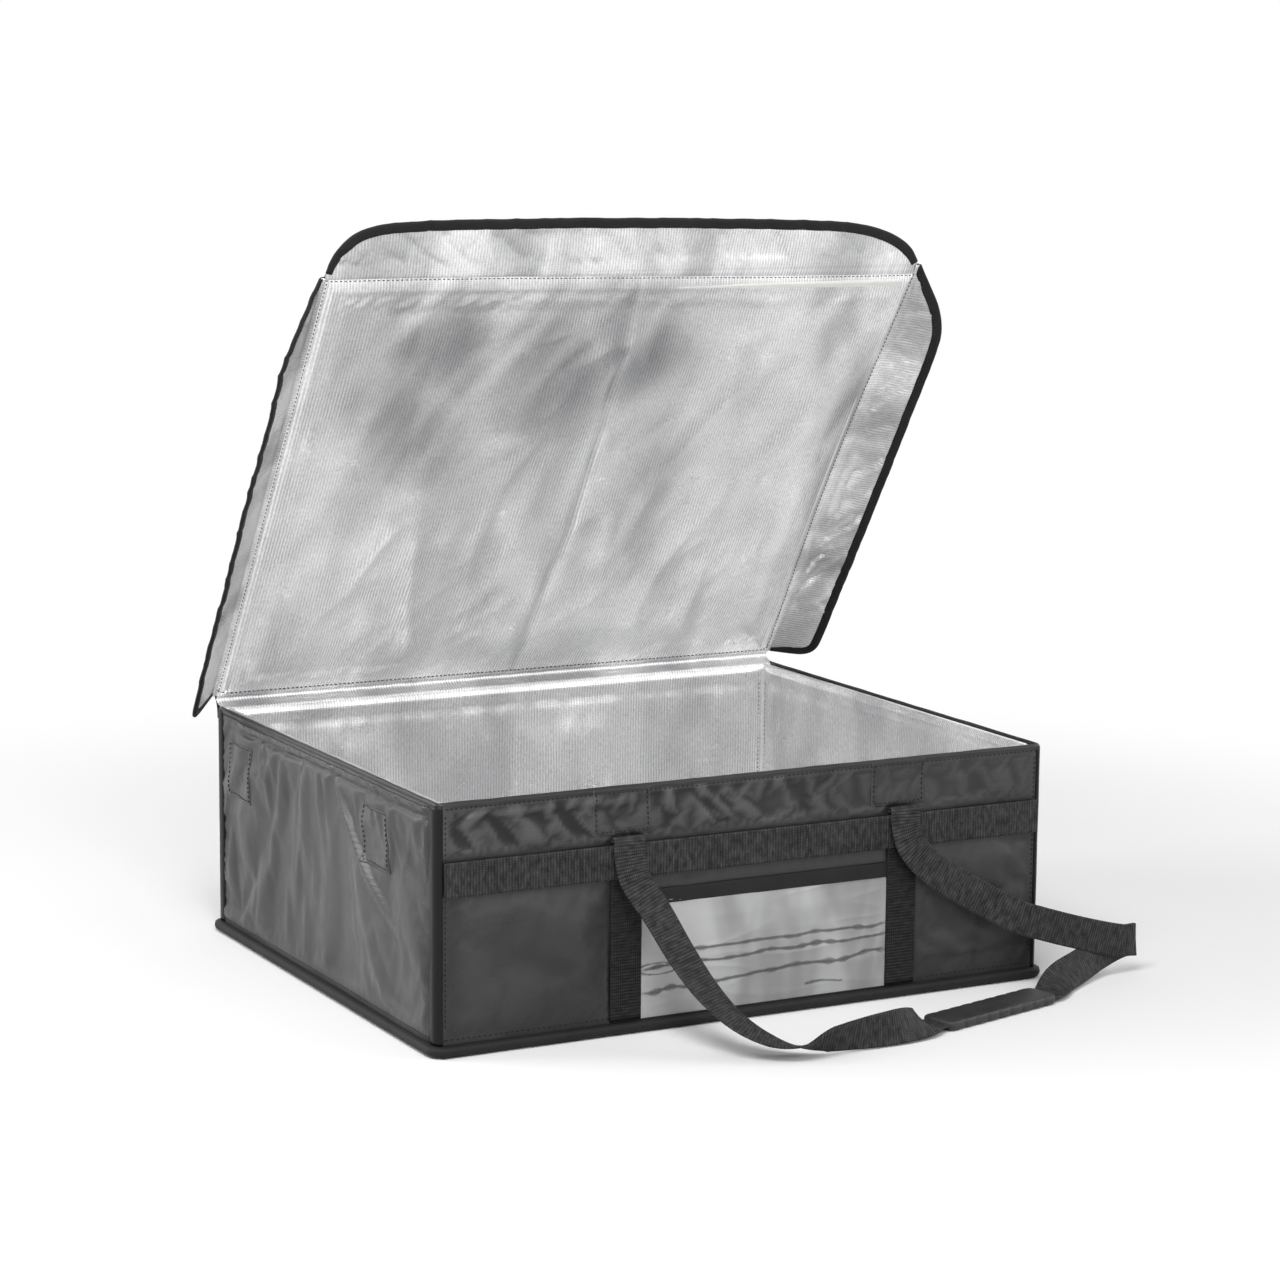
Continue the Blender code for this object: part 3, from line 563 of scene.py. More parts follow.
# Over the rim the cover turns in as a thin roll: how far inward, and how high.
RIM_TURN = ((-0.0002, 0.1764), (-0.0007, 0.1775), (-0.0007, 0.1789), (0.0001, 0.1799),
            (0.0013, 0.1803), (0.0027, 0.1801), (0.0037, 0.1793), (0.0041, 0.1780))
COVER_GIRTH = 2 * (WIDTH + DEPTH)


def cover_place(i, j):
    spot, out, wall, way = COVER_PATH[i]
    flat_across = COVER_GIRTH * i / (len(COVER_PATH) - 1)
    if j < len(COVER_ROWS):
        z = COVER_ROWS[j]
        place = spot + out * cover_relief(wall, way, z)
        return Vector((place.x, place.y, z)), (flat_across, z)
    inward, z = RIM_TURN[j - len(COVER_ROWS)]
    wobble = 0.0003 * waver(way / 0.02, inward * 400, 3.0 + len(wall))
    place = spot - out * inward
    return Vector((place.x, place.y, z + wobble)), (flat_across, RIM + inward)


cover_mesh = cloth_piece(len(COVER_PATH) - 1, len(COVER_ROWS) + len(RIM_TURN) - 1, cover_place)
box_cover = finished("box_cover", cover_mesh, painted_light_fabric)


def cover_hold(vertex):
    """1 where the cover is sewn: at the foot, the rim, the corners, the webbing and the pocket."""
    x, y, z = vertex.co
    hold = max(1 - rise(z, 0.0110, 0.0160), rise(z, 0.1700, 0.1745))
    beside = max(DEPTH / 2 - abs(y), WIDTH / 2 - abs(x))
    hold = max(hold, 1 - rise(beside, 0.006, 0.012))
    if abs(abs(y) - DEPTH / 2) < 0.006:
        hold = max(hold, held_by_webbing(x, z))
        hold = max(hold, behind_pocket(x, z) if y < 0 else 0.0)
    return hold


def off_the_foam(spot):
    """Keep a point of the cover in front of the wall's foam."""
    beyond = (abs(spot.x) - WIDTH / 2, abs(spot.y) - DEPTH / 2)
    axis = 0 if beyond[0] > beyond[1] else 1
    half = (WIDTH / 2, DEPTH / 2)[axis]
    kept = spot.copy()
    kept[axis] = math.copysign(half + stopped_by_foam(beyond[axis]), spot[axis])
    return kept


def cover_painted_light(spot):
    """Painted light for the cover: painted shade beside its upright edges, where it rounds into the
    folded strip, and on its rolled rim, a painted sheen in the middle of the sides that fades towards
    their back, and an uneven painted sheen across the lower front. Its painted ridge highlights show
    most between the rim and the band."""
    beyond = (abs(spot.x) - WIDTH / 2, abs(spot.y) - DEPTH / 2)
    rim_painted_shade = 1 - 0.75 * rise(spot.z, 0.1758, 0.1778)
    if beyond[0] > beyond[1]:
        from_front = DEPTH / 2 + spot.y
        shade = 0.03 + 0.27 * rise(from_front, 0.007, 0.034)
        shade += 0.19 * hump(from_front + 0.5 * (0.12 - spot.z), 0.165, 0.12)
        shade -= 0.07 * rise(from_front, 0.28, 0.40)
        return shade * rim_painted_shade, 0.07
    from_left = WIDTH / 2 + spot.x
    low = 1 - rise(spot.z, BAND_LOW - 0.02, BAND_LOW + 0.01)
    shade = 0.12 + 0.09 * rise(from_left, 0.008, 0.026) - 0.04 * low * rise(spot.x, -0.05, 0.15)
    shade += low * 0.07 * waver((spot.x + spot.z) / 0.09, (spot.z - 0.5 * spot.x) / 0.05, 5.5)
    top = rise(spot.z, BAND_HIGH, BAND_HIGH + 0.008) * (1 - rise(spot.z, RIM - 0.004, RIM))
    shade += 0.05 * top
    return shade * rim_painted_shade, 0.04 + 0.34 * top * (1 - 0.65 * rise(spot.x, 0.0, 0.15))


settle(box_cover, [cover_hold(vertex) for vertex in box_cover.data.vertices], growth=0.010,
       frames=14, reach=0.0030, stop=off_the_foam)
# Painted highlights on the cover's ridges and painted shade in its hollows, beside its corners and at the
# rim, with a painted sheen on its sides.
paint_ridge_light(box_cover, 0.00080, 26, cover_painted_light)
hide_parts("front_wall_cover", "back_wall_cover", "left_wall_cover", "right_wall_cover",
            "corner_seam_front_left", "corner_seam_front_right", "corner_seam_back_left",
            "corner_seam_back_right")
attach(box_cover, "box")


# Foam of the walls. Four panels of soft white foam stand between the cover and the lining. Their
# edges are cut square and have been squeezed round by the sewing.
def foam_finish():
    made, tree, shader = material_base("foam_white", 0.92, specular=0.2)
    here = object_place(tree)
    cells = put(tree, "ShaderNodeTexVoronoi", None, {"Vector": here, "Scale": 900.0}).outputs["Distance"]
    tinted(tree, shader, spread(tree, cells, target=(0.86, 1.0)), (0.70, 0.70, 0.67),
           (0.84, 0.84, 0.82), cloudy(tree, here, 40.0, 3.0))
    bumped(tree, shader, ((cells, 0.5, 0.0003),))
    return made


foam_white = foam_finish()


def foam_slab(size, middle, rounding):
    """A slab of foam with rounded edges."""
    slab = bmesh.new()
    bmesh.ops.create_cube(slab, size=1.0)
    bmesh.ops.scale(slab, vec=size, verts=slab.verts)
    bmesh.ops.translate(slab, vec=middle, verts=slab.verts)
    bmesh.ops.bevel(slab, geom=slab.edges[:], offset=rounding, affect="EDGES", segments=3,
                    profile=0.5, material=-1)
    return slab


FOAM_SQUEEZE = 0.0013
for side in ("front", "back", "left", "right"):
    low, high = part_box(side + "_wall_foam")
    size = [b - a - 2 * FOAM_SQUEEZE for a, b in zip(low, high)]
    slab = foam_slab(size, (Vector(low) + Vector(high)) / 2, 0.32 * min(size))
    wall_foam = finished(side + "_wall_foam_panel", slab, foam_white)
    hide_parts(side + "_wall_foam")
    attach(wall_foam, "box")


# Lining of the box. Silver foil laminated to a woven scrim, one length round the inside with a
# seam in each corner. It rolls over the rim as a smooth hem and puckers below it. The floor is a
# separate piece, laid over the stiff base board.
def stretched(tree, place, scale):
    return put(tree, "ShaderNodeMapping", None, {"Vector": place, "Scale": scale}).outputs["Vector"]


def foil_finish(name, dark, light, turned=False, glaze=0.30, painted_foil_shade=None):
    """glaze is how rough the foil is, and the last argument names the value kept on the mesh that darkens
    the foil as painted shade.
    """
    made, tree, shader = material_base(name, glaze, metallic=0.74)
    # Strong painted shade between the ribs carries the foil's rib contrast.
    weave, flat = threads(tree, 0.0024, 0.0013, 0.74, 0.26, 0.56, turned)
    stretch = (1.0, 0.30, 1.0) if not turned else (0.30, 1.0, 1.0)
    long_way = stretched(tree, flat, stretch)
    mask = spread(tree, cloudy(tree, long_way, 15.0, 4.0, distortion=0.4), (0.38, 0.60), soft=True)
    if painted_foil_shade:
        # Painted shade: the foil is darkened in broad soft patches, kept on the mesh itself.
        bright = maths(tree, "SUBTRACT", 1.0, kept_on_mesh(tree, painted_foil_shade), clamp=True)
        mask = maths(tree, "ADD", maths(tree, "MULTIPLY", bright, 0.70),
                     maths(tree, "MULTIPLY", mask, 0.30))
    # Painted glints: single threads are coloured brighter or darker, as if each turned to the light or
    # away.
    glint = cloudy(tree, long_way, 900.0, 2.0, 0.6)
    painted_glint = spread(tree, glint, (0.36, 0.60), (0.86, 1.06))
    tinted(tree, shader, maths(tree, "MULTIPLY", weave.outputs["Shade"], painted_glint), dark, light, mask)
    polish = spread(tree, weave.outputs["Wear"], (0.3, 0.7), (glaze - 0.05, glaze + 0.06))
    tree.links.new(polish, shader.inputs["Roughness"])
    crumple = cloudy(tree, long_way, 60.0, 4.0, 0.55)
    bumped(tree, shader, ((crumple, 0.6, 0.0014), (glint, 0.14, 0.00018),
                          (weave.outputs["Height"], 0.60, 0.00030)))
    return made


wall_foil = foil_finish("foil_lining_walls", (0.78, 0.78, 0.79), (1.0, 1.0, 1.0))
WALL = 0.0094
FLOOR_TOP = 0.0101
LINING_PATH = box_path(WIDTH / 2 - WALL, DEPTH / 2 - WALL, 0.0022, 0.0042, 3)
LINING_GIRTH = 2 * (WIDTH + DEPTH - 4 * WALL)
# From the turned edge of the cover, over the rim and down: how far in from the box's side, height.
HEM_TURN = ((0.0040, 0.1772), (0.0048, 0.1783), (0.0060, 0.1789), (0.0074, 0.1788), (0.0086, 0.1780),
            (0.0093, 0.1766))
LINING_ROWS = [0.1748 - 0.1643 * i / 42 for i in range(43)]


def lining_relief(wall, way, z, half):
    drop = RIM - z
    seed = {"front": 5.1, "right": 15.7, "back": 25.3, "left": 35.9}.get(wall, 1.0)
    near_corner = rise(half - abs(way), 0.001, 0.014) if wall != "corner" else 0.0
    roll = 0.0013 * math.sin(math.pi * min(1.0, drop / 0.0145)) if drop < 0.0145 else 0.0
    pinch = -0.0009 * hump(drop, 0.0150, 0.003)
    puckers = 0.0013 * crease(way / 0.014, drop / 0.090, seed) * rise(drop, 0.014, 0.024)
    puckers *= 1 - 0.7 * rise(drop, 0.04, 0.11)
    broad = 0.0024 * waver(way / 0.06, z / 0.16, seed + 2.0) * rise(drop, 0.02, 0.05)
    slack = 0.0009 * crease(way / 0.06 + z / 0.09, z / 0.08, seed + 6.0) * rise(drop, 0.03, 0.06)
    return (roll + pinch + puckers + broad + slack) * near_corner * rise(z, 0.0100, 0.0220)


def lining_place(i, j):
    spot, out, wall, way = LINING_PATH[i]
    half = (WIDTH if wall in ("front", "back") else DEPTH) / 2 - WALL
    flat_across = LINING_GIRTH * i / (len(LINING_PATH) - 1)
    if j < len(HEM_TURN):
        inward, z = HEM_TURN[j]
        place = spot + out * (WALL - inward)
        return Vector((place.x, place.y, z)), (flat_across, -inward)
    z = LINING_ROWS[j - len(HEM_TURN)]
    place = spot - out * lining_relief(wall, way, z, half)
    return Vector((place.x, place.y, z)), (flat_across, z - RIM)


lining_mesh = cloth_piece(len(LINING_PATH) - 1, len(HEM_TURN) + len(LINING_ROWS) - 1, lining_place)
bmesh.ops.reverse_faces(lining_mesh, faces=lining_mesh.faces[:])
box_lining = finished("box_lining", lining_mesh, wall_foil)
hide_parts("front_wall_lining", "back_wall_lining", "left_wall_lining", "right_wall_lining")
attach(box_lining, "box")


def flat_place(i, j, size, counts):
    """A place on a flat rectangle about the middle, and how far inside its edge it lies."""
    x = -size[0] / 2 + size[0] * i / counts[0]
    y = -size[1] / 2 + size[1] * j / counts[1]
    return x, y, min(size[0] / 2 - abs(x), size[1] / 2 - abs(y))


FLOOR_SIZE = (0.4808, 0.3908)
FLOOR_GRID = (120, 98)


def floor_place(i, j):
    x, y, edge = flat_place(i, j, FLOOR_SIZE, FLOOR_GRID)
    lift = 0.0013 * crease(x / 0.07 + y / 0.11, y / 0.09, 61.0)
    lift += 0.0009 * (waver(x / 0.05, y / 0.06, 63.0) + 0.3)
    return Vector((x, y, FLOOR_TOP + max(0.0, lift) * rise(edge, 0.0, 0.025))), (x, y)


floor_foil = finished("floor_lining", cloth_piece(*FLOOR_GRID, floor_place), wall_foil)
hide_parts("base_lining")
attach(floor_foil, "box")


# Base. A stiff board lies inside the bottom, over an underside of the same coated fabric, and both
# are bound into a thick taped seam that runs right round the foot and stands out as a flange.
UNDERSIDE_SIZE = (0.491, 0.401)
UNDERSIDE_GRID = (60, 50)


def underside_place(i, j):
    x, y, edge = flat_place(i, j, UNDERSIDE_SIZE, UNDERSIDE_GRID)
    lift = 0.0006 * (0.5 + waver(x / 0.08, y / 0.08, 71.0)) * rise(edge, 0.0, 0.02)
    return Vector((x, y, 0.0004 + lift)), (x, y)


underside_mesh = cloth_piece(*UNDERSIDE_GRID, underside_place)
bmesh.ops.reverse_faces(underside_mesh, faces=underside_mesh.faces[:])
base_underside = finished("base_underside", underside_mesh, coated_fabric)
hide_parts("base_cover")
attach(base_underside, "box")


def board_finish():
    made, tree, shader = material_base("stiff_board_grey", 0.82, specular=0.3)
    here = object_place(tree)
    fibre = cloudy(tree, here, 320.0, 5.0)
    tinted(tree, shader, fibre, (0.26, 0.25, 0.24), (0.40, 0.39, 0.37), cloudy(tree, here, 14.0, 3.0))
    bumped(tree, shader, ((fibre, 0.5, 0.0003),))
    return made


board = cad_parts["base_board"]
board.data.materials.clear()
board.data.materials.append(board_finish())


def tape_finish():
    made, tree, shader = material_base("binding_tape_black", 0.62, specular=0.22)
    weave, flat = threads(tree, 0.0011, 0.0009, 0.60, 0.18, 0.45, True)
    dusty = cloudy(tree, flat, 30.0, 4.0)
    tinted(tree, shader, weave.outputs["Shade"], (0.006, 0.006, 0.0065), (0.020, 0.020, 0.021), dusty)
    bumped(tree, shader, ((dusty, 0.3, 0.0004), (weave.outputs["Height"], 0.6, 0.00025)))
    return made


tape_black = tape_finish()


def swept_tape(name, stations, section, finish, closed=False):
    """Sweep a section along stations, each (place, way out, way up, width scale). The flat map
    runs along the tape one way and round its section the other."""
    around = len(section)
    lengths = [0.0]
    for before, after in zip(stations, stations[1:]):
        lengths.append(lengths[-1] + (after[0] - before[0]).length)
    girth = [0.0]
    for before, after in zip(section, section[1:] + section[:1]):
        girth.append(girth[-1] + math.dist(before, after))

    def place(i, j):
        spot, out, up, scale = stations[j]
        a, b = section[i % around]
        return spot + out * a * scale + up * b, (girth[i], lengths[j])

    mesh_data = cloth_piece(around, len(stations) - 1, place)
    if not closed:
        bmesh.ops.holes_fill(mesh_data, edges=[e for e in mesh_data.edges if e.is_boundary], sides=0)
    bmesh.ops.recalc_face_normals(mesh_data, faces=mesh_data.faces[:])
    return finished(name, mesh_data, finish)


FLANGE = ((-0.0036, 0.0004), (-0.0036, 0.0076), (-0.0012, 0.0082), (0.0006, 0.0079), (0.0020, 0.0081),
          (0.0042, 0.0076), (0.0055, 0.0066), (0.0060, 0.0048), (0.0058, 0.0028), (0.0048, 0.0012),
          (0.0030, 0.0004), (0.0000, 0.0001))
flange_path = box_path(WIDTH / 2, DEPTH / 2, 0.0062, 0.0055, 7)
flange_stations = []
for spot, out, wall, way in flange_path:
    waviness = 0.0004 * waver(way / 0.035, 2.0, 81.0 + len(wall))
    flange_stations.append((spot + out * waviness + Vector((0, 0, abs(waviness) * 0.4)), out,
                            Vector((0, 0, 1)), 1.0))
base_seam = swept_tape("base_seam", flange_stations, list(FLANGE), tape_black, closed=True)
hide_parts("base_binding")
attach(base_seam, "box")


# Webbing. Black ribbed polyester, sewn flat to the front and back: one long band across, and two
# short strips that run down from it to the base seam.
def webbing_finish(name, dark, light):
    made, tree, shader = material_base(name, 0.55, specular=0.16)
    weave, flat = threads(tree, 0.0023, 0.0017, 0.70, 0.12, 1.0, True)
    dusty = cloudy(tree, stretched(tree, flat, (1.0, 0.45, 1.0)), 300.0)
    tinted(tree, shader, weave.outputs["Shade"], dark, light, spread(tree, dusty, (0.30, 0.70)))
    bumped(tree, shader, ((dusty, 0.35, 0.0003), (weave.outputs["Height"], 1.0, 0.00060)))
    return made


webbing_black = webbing_finish("webbing_black", (0.016, 0.016, 0.0165), (0.070, 0.070, 0.072))
# The upright strips take a darker copy of the same webbing, as painted shade.
shaded_strip_webbing = webbing_finish("webbing_black_shaded_copy", (0.007, 0.007, 0.007), (0.028, 0.028, 0.029))


WEBBING_THICK = 0.0016


def webbing_section(width, thickness, steps=8):
    """Flat in the middle, drawn in a little beside the selvedge, and rounded along its edges."""
    share = [0.30, 0.86] + [0.80 if i in (0, steps - 4) else 1.0 for i in range(steps - 3)] + [0.86, 0.30]
    across = [-width / 2, -0.475 * width]
    across += [(-0.42 + 0.84 * i / (steps - 4)) * width for i in range(steps - 3)]
    across += [0.475 * width, width / 2]
    front = [(0.5 * thickness * s, b) for s, b in zip(share, across)]
    return front + [(-a, b) for a, b in reversed(front)]


def flat_webbing(name, node, sign, upright):
    """A length of webbing where the node is, lying against the front (-1) or the back (1)."""
    low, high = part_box(node)
    middle = (Vector(low) + Vector(high)) / 2
    out = Vector((0.0, sign, 0.0))
    along, width_way, run = (Vector((0, 0, 1)), Vector((1, 0, 0)), 2) if upright else (
        Vector((1, 0, 0)), Vector((0, 0, 1)), 0)
    length = high[run] - low[run] + (0.0 if upright else 0.003)
    steps = round(length / 0.004)
    stations = []
    for i in range(steps + 1):
        way = -length / 2 + length * i / steps
        ripple = 0.00018 * waver(way / 0.02, 0.0, 90.0 + len(name))
        stations.append((middle + along * way + out * max(0.0, ripple), out, width_way, 1.0))
    # Upright strips get the darker copy of the webbing, which is painted shade.
    piece = swept_tape(name, stations, webbing_section(WEBBING_WIDTH, WEBBING_THICK),
                       shaded_strip_webbing if upright else webbing_black)
    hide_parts(node)
    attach(piece, "box")


for side, sign in (("front", -1), ("back", 1)):
    flat_webbing(side + "_band_webbing", side + "_band", sign, False)
    for hand in ("left", "right"):
        flat_webbing(f"{side}_{hand}_strip_webbing", f"{side}_{hand}_strip", sign, True)


# Thread. All seams are sewn with a thick dark thread in long stitches, which show as dots.
def thread_finish():
    made, tree, shader = material_base("thread_dark", 0.6, specular=0.3)
    fibre = cloudy(tree, object_place(tree), 2200.0)
    tinted(tree, shader, fibre, (0.006, 0.006, 0.006), (0.014, 0.014, 0.015), fibre)
    bumped(tree, shader, ((fibre, 0.6, 0.0002),))
    return made


thread_dark = thread_finish()


def stitch_row(mesh_data, route, length=0.0025, pitch=0.0037, thick=0.0008):
    """Lay stitches along a route of (place, way out) pairs, half sunk in the cloth."""
    walked = 0.0
    due = pitch / 2
    for (start, out), (end, out_end) in zip(route, route[1:]):
        span = (end - start).length
        if span < 1e-7:
            continue
        along = (end - start) / span
        while due <= walked + span:
            t = (due - walked) / span
            spot = start.lerp(end, t)
            away = out.lerp(out_end, t).normalized()
            side = along.cross(away).normalized()
            turned = Matrix((along, side, side.cross(along))).transposed().to_4x4()
            shape = Matrix.Diagonal((length / 2, thick / 2, thick / 2, 1.0))
            bmesh.ops.create_icosphere(mesh_data, subdivisions=1, radius=1.0,
                                       matrix=Matrix.Translation(spot) @ turned @ shape)
            due += pitch
        walked += span


# Patches. Small rectangles of the cover's fabric sewn on at the rim over each strap's root, and
# two on each side wall. Each lies on the cover's folds and is sewn round with dotted stitches.
cover_tree = BVHTree.FromObject(box_cover, bpy.context.evaluated_depsgraph_get())
patch_stitches = bmesh.new()


def on_cover(across, z, out, lift):
    """The place on the cover beside which this point stands, lifted off it a little."""
    along = Vector((-out.y, out.x, 0.0))
    start = along * across + Vector((0, 0, z)) + out * 0.32
    hit = cover_tree.ray_cast(start, -out)[0]
    return hit + out * lift


def sewn_patch(name, node, out, open_top):
    low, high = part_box(node)
    along = Vector((-out.y, out.x, 0.0))
    ends = sorted((Vector(low).dot(along), Vector(high).dot(along)))
    wide, tall = ends[1] - ends[0], high[2] - low[2]
    columns, rows = round(wide / 0.0016), round(tall / 0.0016)

    def place(i, j):
        across = ends[0] + wide * i / columns
        z = low[2] + tall * j / rows
        edge = min(across - ends[0], ends[1] - across, z - low[2], high[2] - z)
        puff = 0.0002 * hump(edge, 0.0075, 0.006) + 0.0004 * waver(across / 0.013, z / 0.016, 97.0)
        lift = 0.00010 + max(0.0, puff) * rise(edge, 0.0015, 0.004)
        return on_cover(across, z, out, lift), (across, z)

    mesh_data = cloth_piece(columns, rows, place)
    bmesh.ops.solidify(mesh_data, geom=mesh_data.faces[:], thickness=-0.0002)
    bmesh.ops.recalc_face_normals(mesh_data, faces=mesh_data.faces[:])
    patch = finished(name, mesh_data, painted_light_fabric)
    # The patch takes the cover's painted highlights on its ridges and painted shade in its hollows and
    # margins.
    paint_ridge_light(patch, 0.00070, 12, cover_painted_light)
    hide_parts(node)
    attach(patch, "box")
    inset = 0.0024
    left, right, foot, head = ends[0] + inset, ends[1] - inset, low[2] + inset, high[2] - inset * 0.6
    corners = [(left, head), (left, foot), (right, foot), (right, head)]
    if not open_top:
        corners.append((left, head))
    route = []
    for (a, z), (b, y) in zip(corners, corners[1:]):
        steps = max(2, round(math.dist((a, z), (b, y)) / 0.0015))
        for i in range(steps):
            spot = on_cover(a + (b - a) * i / steps, z + (y - z) * i / steps, out, 0.0006)
            route.append((spot, out))
    stitch_row(patch_stitches, route)


for hand in ("left", "right"):
    sewn_patch(f"front_{hand}_sewn_patch", f"front_{hand}_patch", Vector((0, -1, 0)), True)
for place_name in ("front", "back"):
    sewn_patch(f"left_{place_name}_sewn_patch", f"left_{place_name}_patch", Vector((-1, 0, 0)), False)
    sewn_patch(f"right_{place_name}_sewn_patch", f"right_{place_name}_patch", Vector((1, 0, 0)), False)
patch_thread = finished("patch_thread", patch_stitches, thread_dark)
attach(patch_thread, "box")

# Corner edges. At each upright corner a strip of the same fabric is folded round over the seam and
# sewn down on the front or back face. It stands a little proud, and its colour is much darker than
# the cover's as painted shade.
edge_shade_fabric = coated_finish("coated_fabric_corner_shade", (0.004, 0.004, 0.004), (0.012, 0.012, 0.012),
                            False, 0.16)
EDGE_SECTION = [(0.0052, -0.0068), (0.0060, -0.0062), (0.0065, -0.0040), (0.0067, 0.0000)]
EDGE_SECTION += [(0.0067 * math.cos(math.radians(k)), 0.0067 * math.sin(math.radians(k)))
                 for k in range(15, 75, 15)]
EDGE_SECTION += [(0.0022, 0.0064), (0.0013, 0.0062), (0.0009, 0.0056), (0.0012, 0.0049), (0.0035, 0.0035),
                 (0.0050, 0.0), (0.0048, -0.0060)]
rim_stitches = bmesh.new()
for across_sign, sign, label in ((-1, -1, "front_left"), (1, -1, "front_right"), (-1, 1, "back_left"),
                                 (1, 1, "back_right")):
    edge_stations = []
    seam_route = []
    for i in range(57):
        z = 0.0078 + 0.1702 * i / 56
        swell = 1.0 + 0.030 * waver(z / 0.03, 0.0, 201.0 + across_sign + 3 * sign)
        centre = Vector((across_sign * (WIDTH / 2 - CORNER_RADIUS),
                         sign * (DEPTH / 2 - CORNER_RADIUS), z))
        edge_stations.append((centre, Vector((across_sign, 0, 0)), Vector((0, sign, 0)), swell))
        if 3 < i < 55:
            beside = Vector((-across_sign * 0.0008, sign * 0.0058, 0))
            seam_route.append((centre + beside, Vector((0, sign, 0))))
    corner_edge = swept_tape(label + "_corner_edge", edge_stations, EDGE_SECTION, edge_shade_fabric)
    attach(corner_edge, "box")
    stitch_row(rim_stitches, seam_route)

# Rim and foot stitching. One row of dots runs just under the rolled rim all the way round, and one
# just above the base seam.
for z, pitch in ((0.1755, 0.0037), (0.0118, 0.0042)):
    route = []
    for spot, out, wall, way in box_path(WIDTH / 2, DEPTH / 2, CORNER_RADIUS, 0.0030, 4):
        level = out * (cover_relief(wall, way, z) + 0.0003)
        route.append((Vector((spot.x, spot.y, z)) + level, out))
    stitch_row(rim_stitches, route, pitch=pitch)
# The lining's seam in each corner is sewn down on both sides.
for across_sign in (-1, 1):
    for sign in (-1, 1):
        corner = Vector((across_sign * (WIDTH / 2 - WALL), sign * (DEPTH / 2 - WALL), 0.0))
        for beside in (Vector((-across_sign * 0.0040, 0, 0)), Vector((0, -sign * 0.0040, 0))):
            away = Vector((0, -sign, 0)) if beside.x else Vector((-across_sign, 0, 0))
            route = [(corner + beside + Vector((0, 0, 0.016 + 0.003 * i)), away) for i in range(50)]
            stitch_row(rim_stitches, route, length=0.0030, pitch=0.0036)
rim_thread = finished("rim_thread", rim_stitches, thread_dark)
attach(rim_thread, "box")


# Pocket. A sheet of clear PVC over the front between the strips, held by the strips and the base
# seam, open at its top, where a tape binds its edge. It is hazed and has lasting creases.
def clear_finish():
    made, tree, shader = material_base("clear_sheet", 0.16, specular=0.5)
    flat = put(tree, "ShaderNodeUVMap", {"uv_map": "cloth"}).outputs["UV"]
    dented = cloudy(tree, flat, 14.0, 4.0, 0.55, 0.8)
    wavy = cloudy(tree, stretched(tree, flat, (1.0, 0.35, 1.0)), 24.0, 2.0, 0.45, 0.6)
    haze = spread(tree, wavy, (0.35, 0.65), (0.37, 0.60), soft=True)
    shader.inputs["Base Color"].default_value = (0.80, 0.80, 0.81, 1.0)
    # Painted shade: where the value kept on the mesh is high, along the lasting creases and in a few
    # patches, the sheet is made more see-through so that the dark cover shows.
    softened = maths(tree, "MULTIPLY", kept_on_mesh(tree, "painted_shade_mark"), 0.82)
    hazed = maths(tree, "SUBTRACT", 1.0, softened, clamp=True)
    tree.links.new(maths(tree, "MULTIPLY", haze, hazed), shader.inputs["Alpha"])
    bumped(tree, shader, ((wavy, 0.5, 0.0014), (dented, 0.3, 0.0010)))
    return made


clear_sheet = clear_finish()
pane_low, pane_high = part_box("window_pane")
pane_front = pane_low[1]


def pane_place(i, j):
    x = pane_low[0] + (pane_high[0] - pane_low[0]) * i / 200
    z = pane_low[2] + (pane_high[2] - pane_low[2]) * j / 120
    edge = min(x - pane_low[0], pane_high[0] - x, z - pane_low[2])
    swell = (0.0012 * (0.4 + waver(x / 0.06, z / 0.03, 101.0))
             + 0.0007 * crease(x / 0.09, z / 0.016, 103.0))
    return Vector((x, pane_front - max(0.0, swell) * rise(edge, 0.0, 0.012), z)), (x, z)


# The pocket's creases: where each starts and ends, its height at both ends and its thickness.
PANE_CREASES = ((-0.055, 0.115, 0.0560, 0.0570, 0.0014), (-0.092, 0.115, 0.0455, 0.0490, 0.0013),
                (-0.092, 0.115, 0.0270, 0.0375, 0.0016), (0.045, 0.078, 0.0190, 0.0195, 0.0008))


def pane_painted_shade(x, z):
    depth = 0.0
    for number, (begin, stop, low_end, high_end, thick) in enumerate(PANE_CREASES):
        t = (x - begin) / (stop - begin)
        if not -0.02 < t < 1.02:
            continue
        line = low_end + (high_end - low_end) * t + 0.0022 * waver(x / 0.022, number * 3.7, 175.0)
        width = thick * (0.7 + 0.9 * abs(waver(x / 0.012, number * 5.1, 177.0)) * 2)
        sharp = hump(z - line, 0.0, 1.5 * width)
        depth = max(depth, sharp * rise(t, -0.02, 0.05) * (1 - rise(t, 0.96, 1.02)))
    oval = abs(math.hypot((x + 0.077) / 0.016, (z - 0.0445) / 0.0042) - 1.0)
    # Painted shade: lower down and towards the right the sheet is made clearer, and at its top right in
    # wavy patches.
    close = 0.16 * (1 - rise(z, 0.012, 0.070)) + 0.05 * rise(x, 0.0, 0.10)
    waves = 0.34 * max(0.0, waver(x / 0.011, z / 0.05, 181.0))
    waves = waves * rise(x, 0.010, 0.055) * rise(z, 0.052, 0.075)
    return max(depth, 0.8 * (1 - rise(oval, 0.05, 0.22)), close + waves)


pane_mesh = cloth_piece(200, 120, pane_place)
pocket_pane = finished("pocket_pane", pane_mesh, clear_sheet)
pane_shade_places = pocket_pane.data.attributes.new("painted_shade_mark", "FLOAT", "POINT")
for vertex in pocket_pane.data.vertices:
    pane_shade_places.data[vertex.index].value = pane_painted_shade(vertex.co.x, vertex.co.z)
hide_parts("window_pane")
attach(pocket_pane, "box")

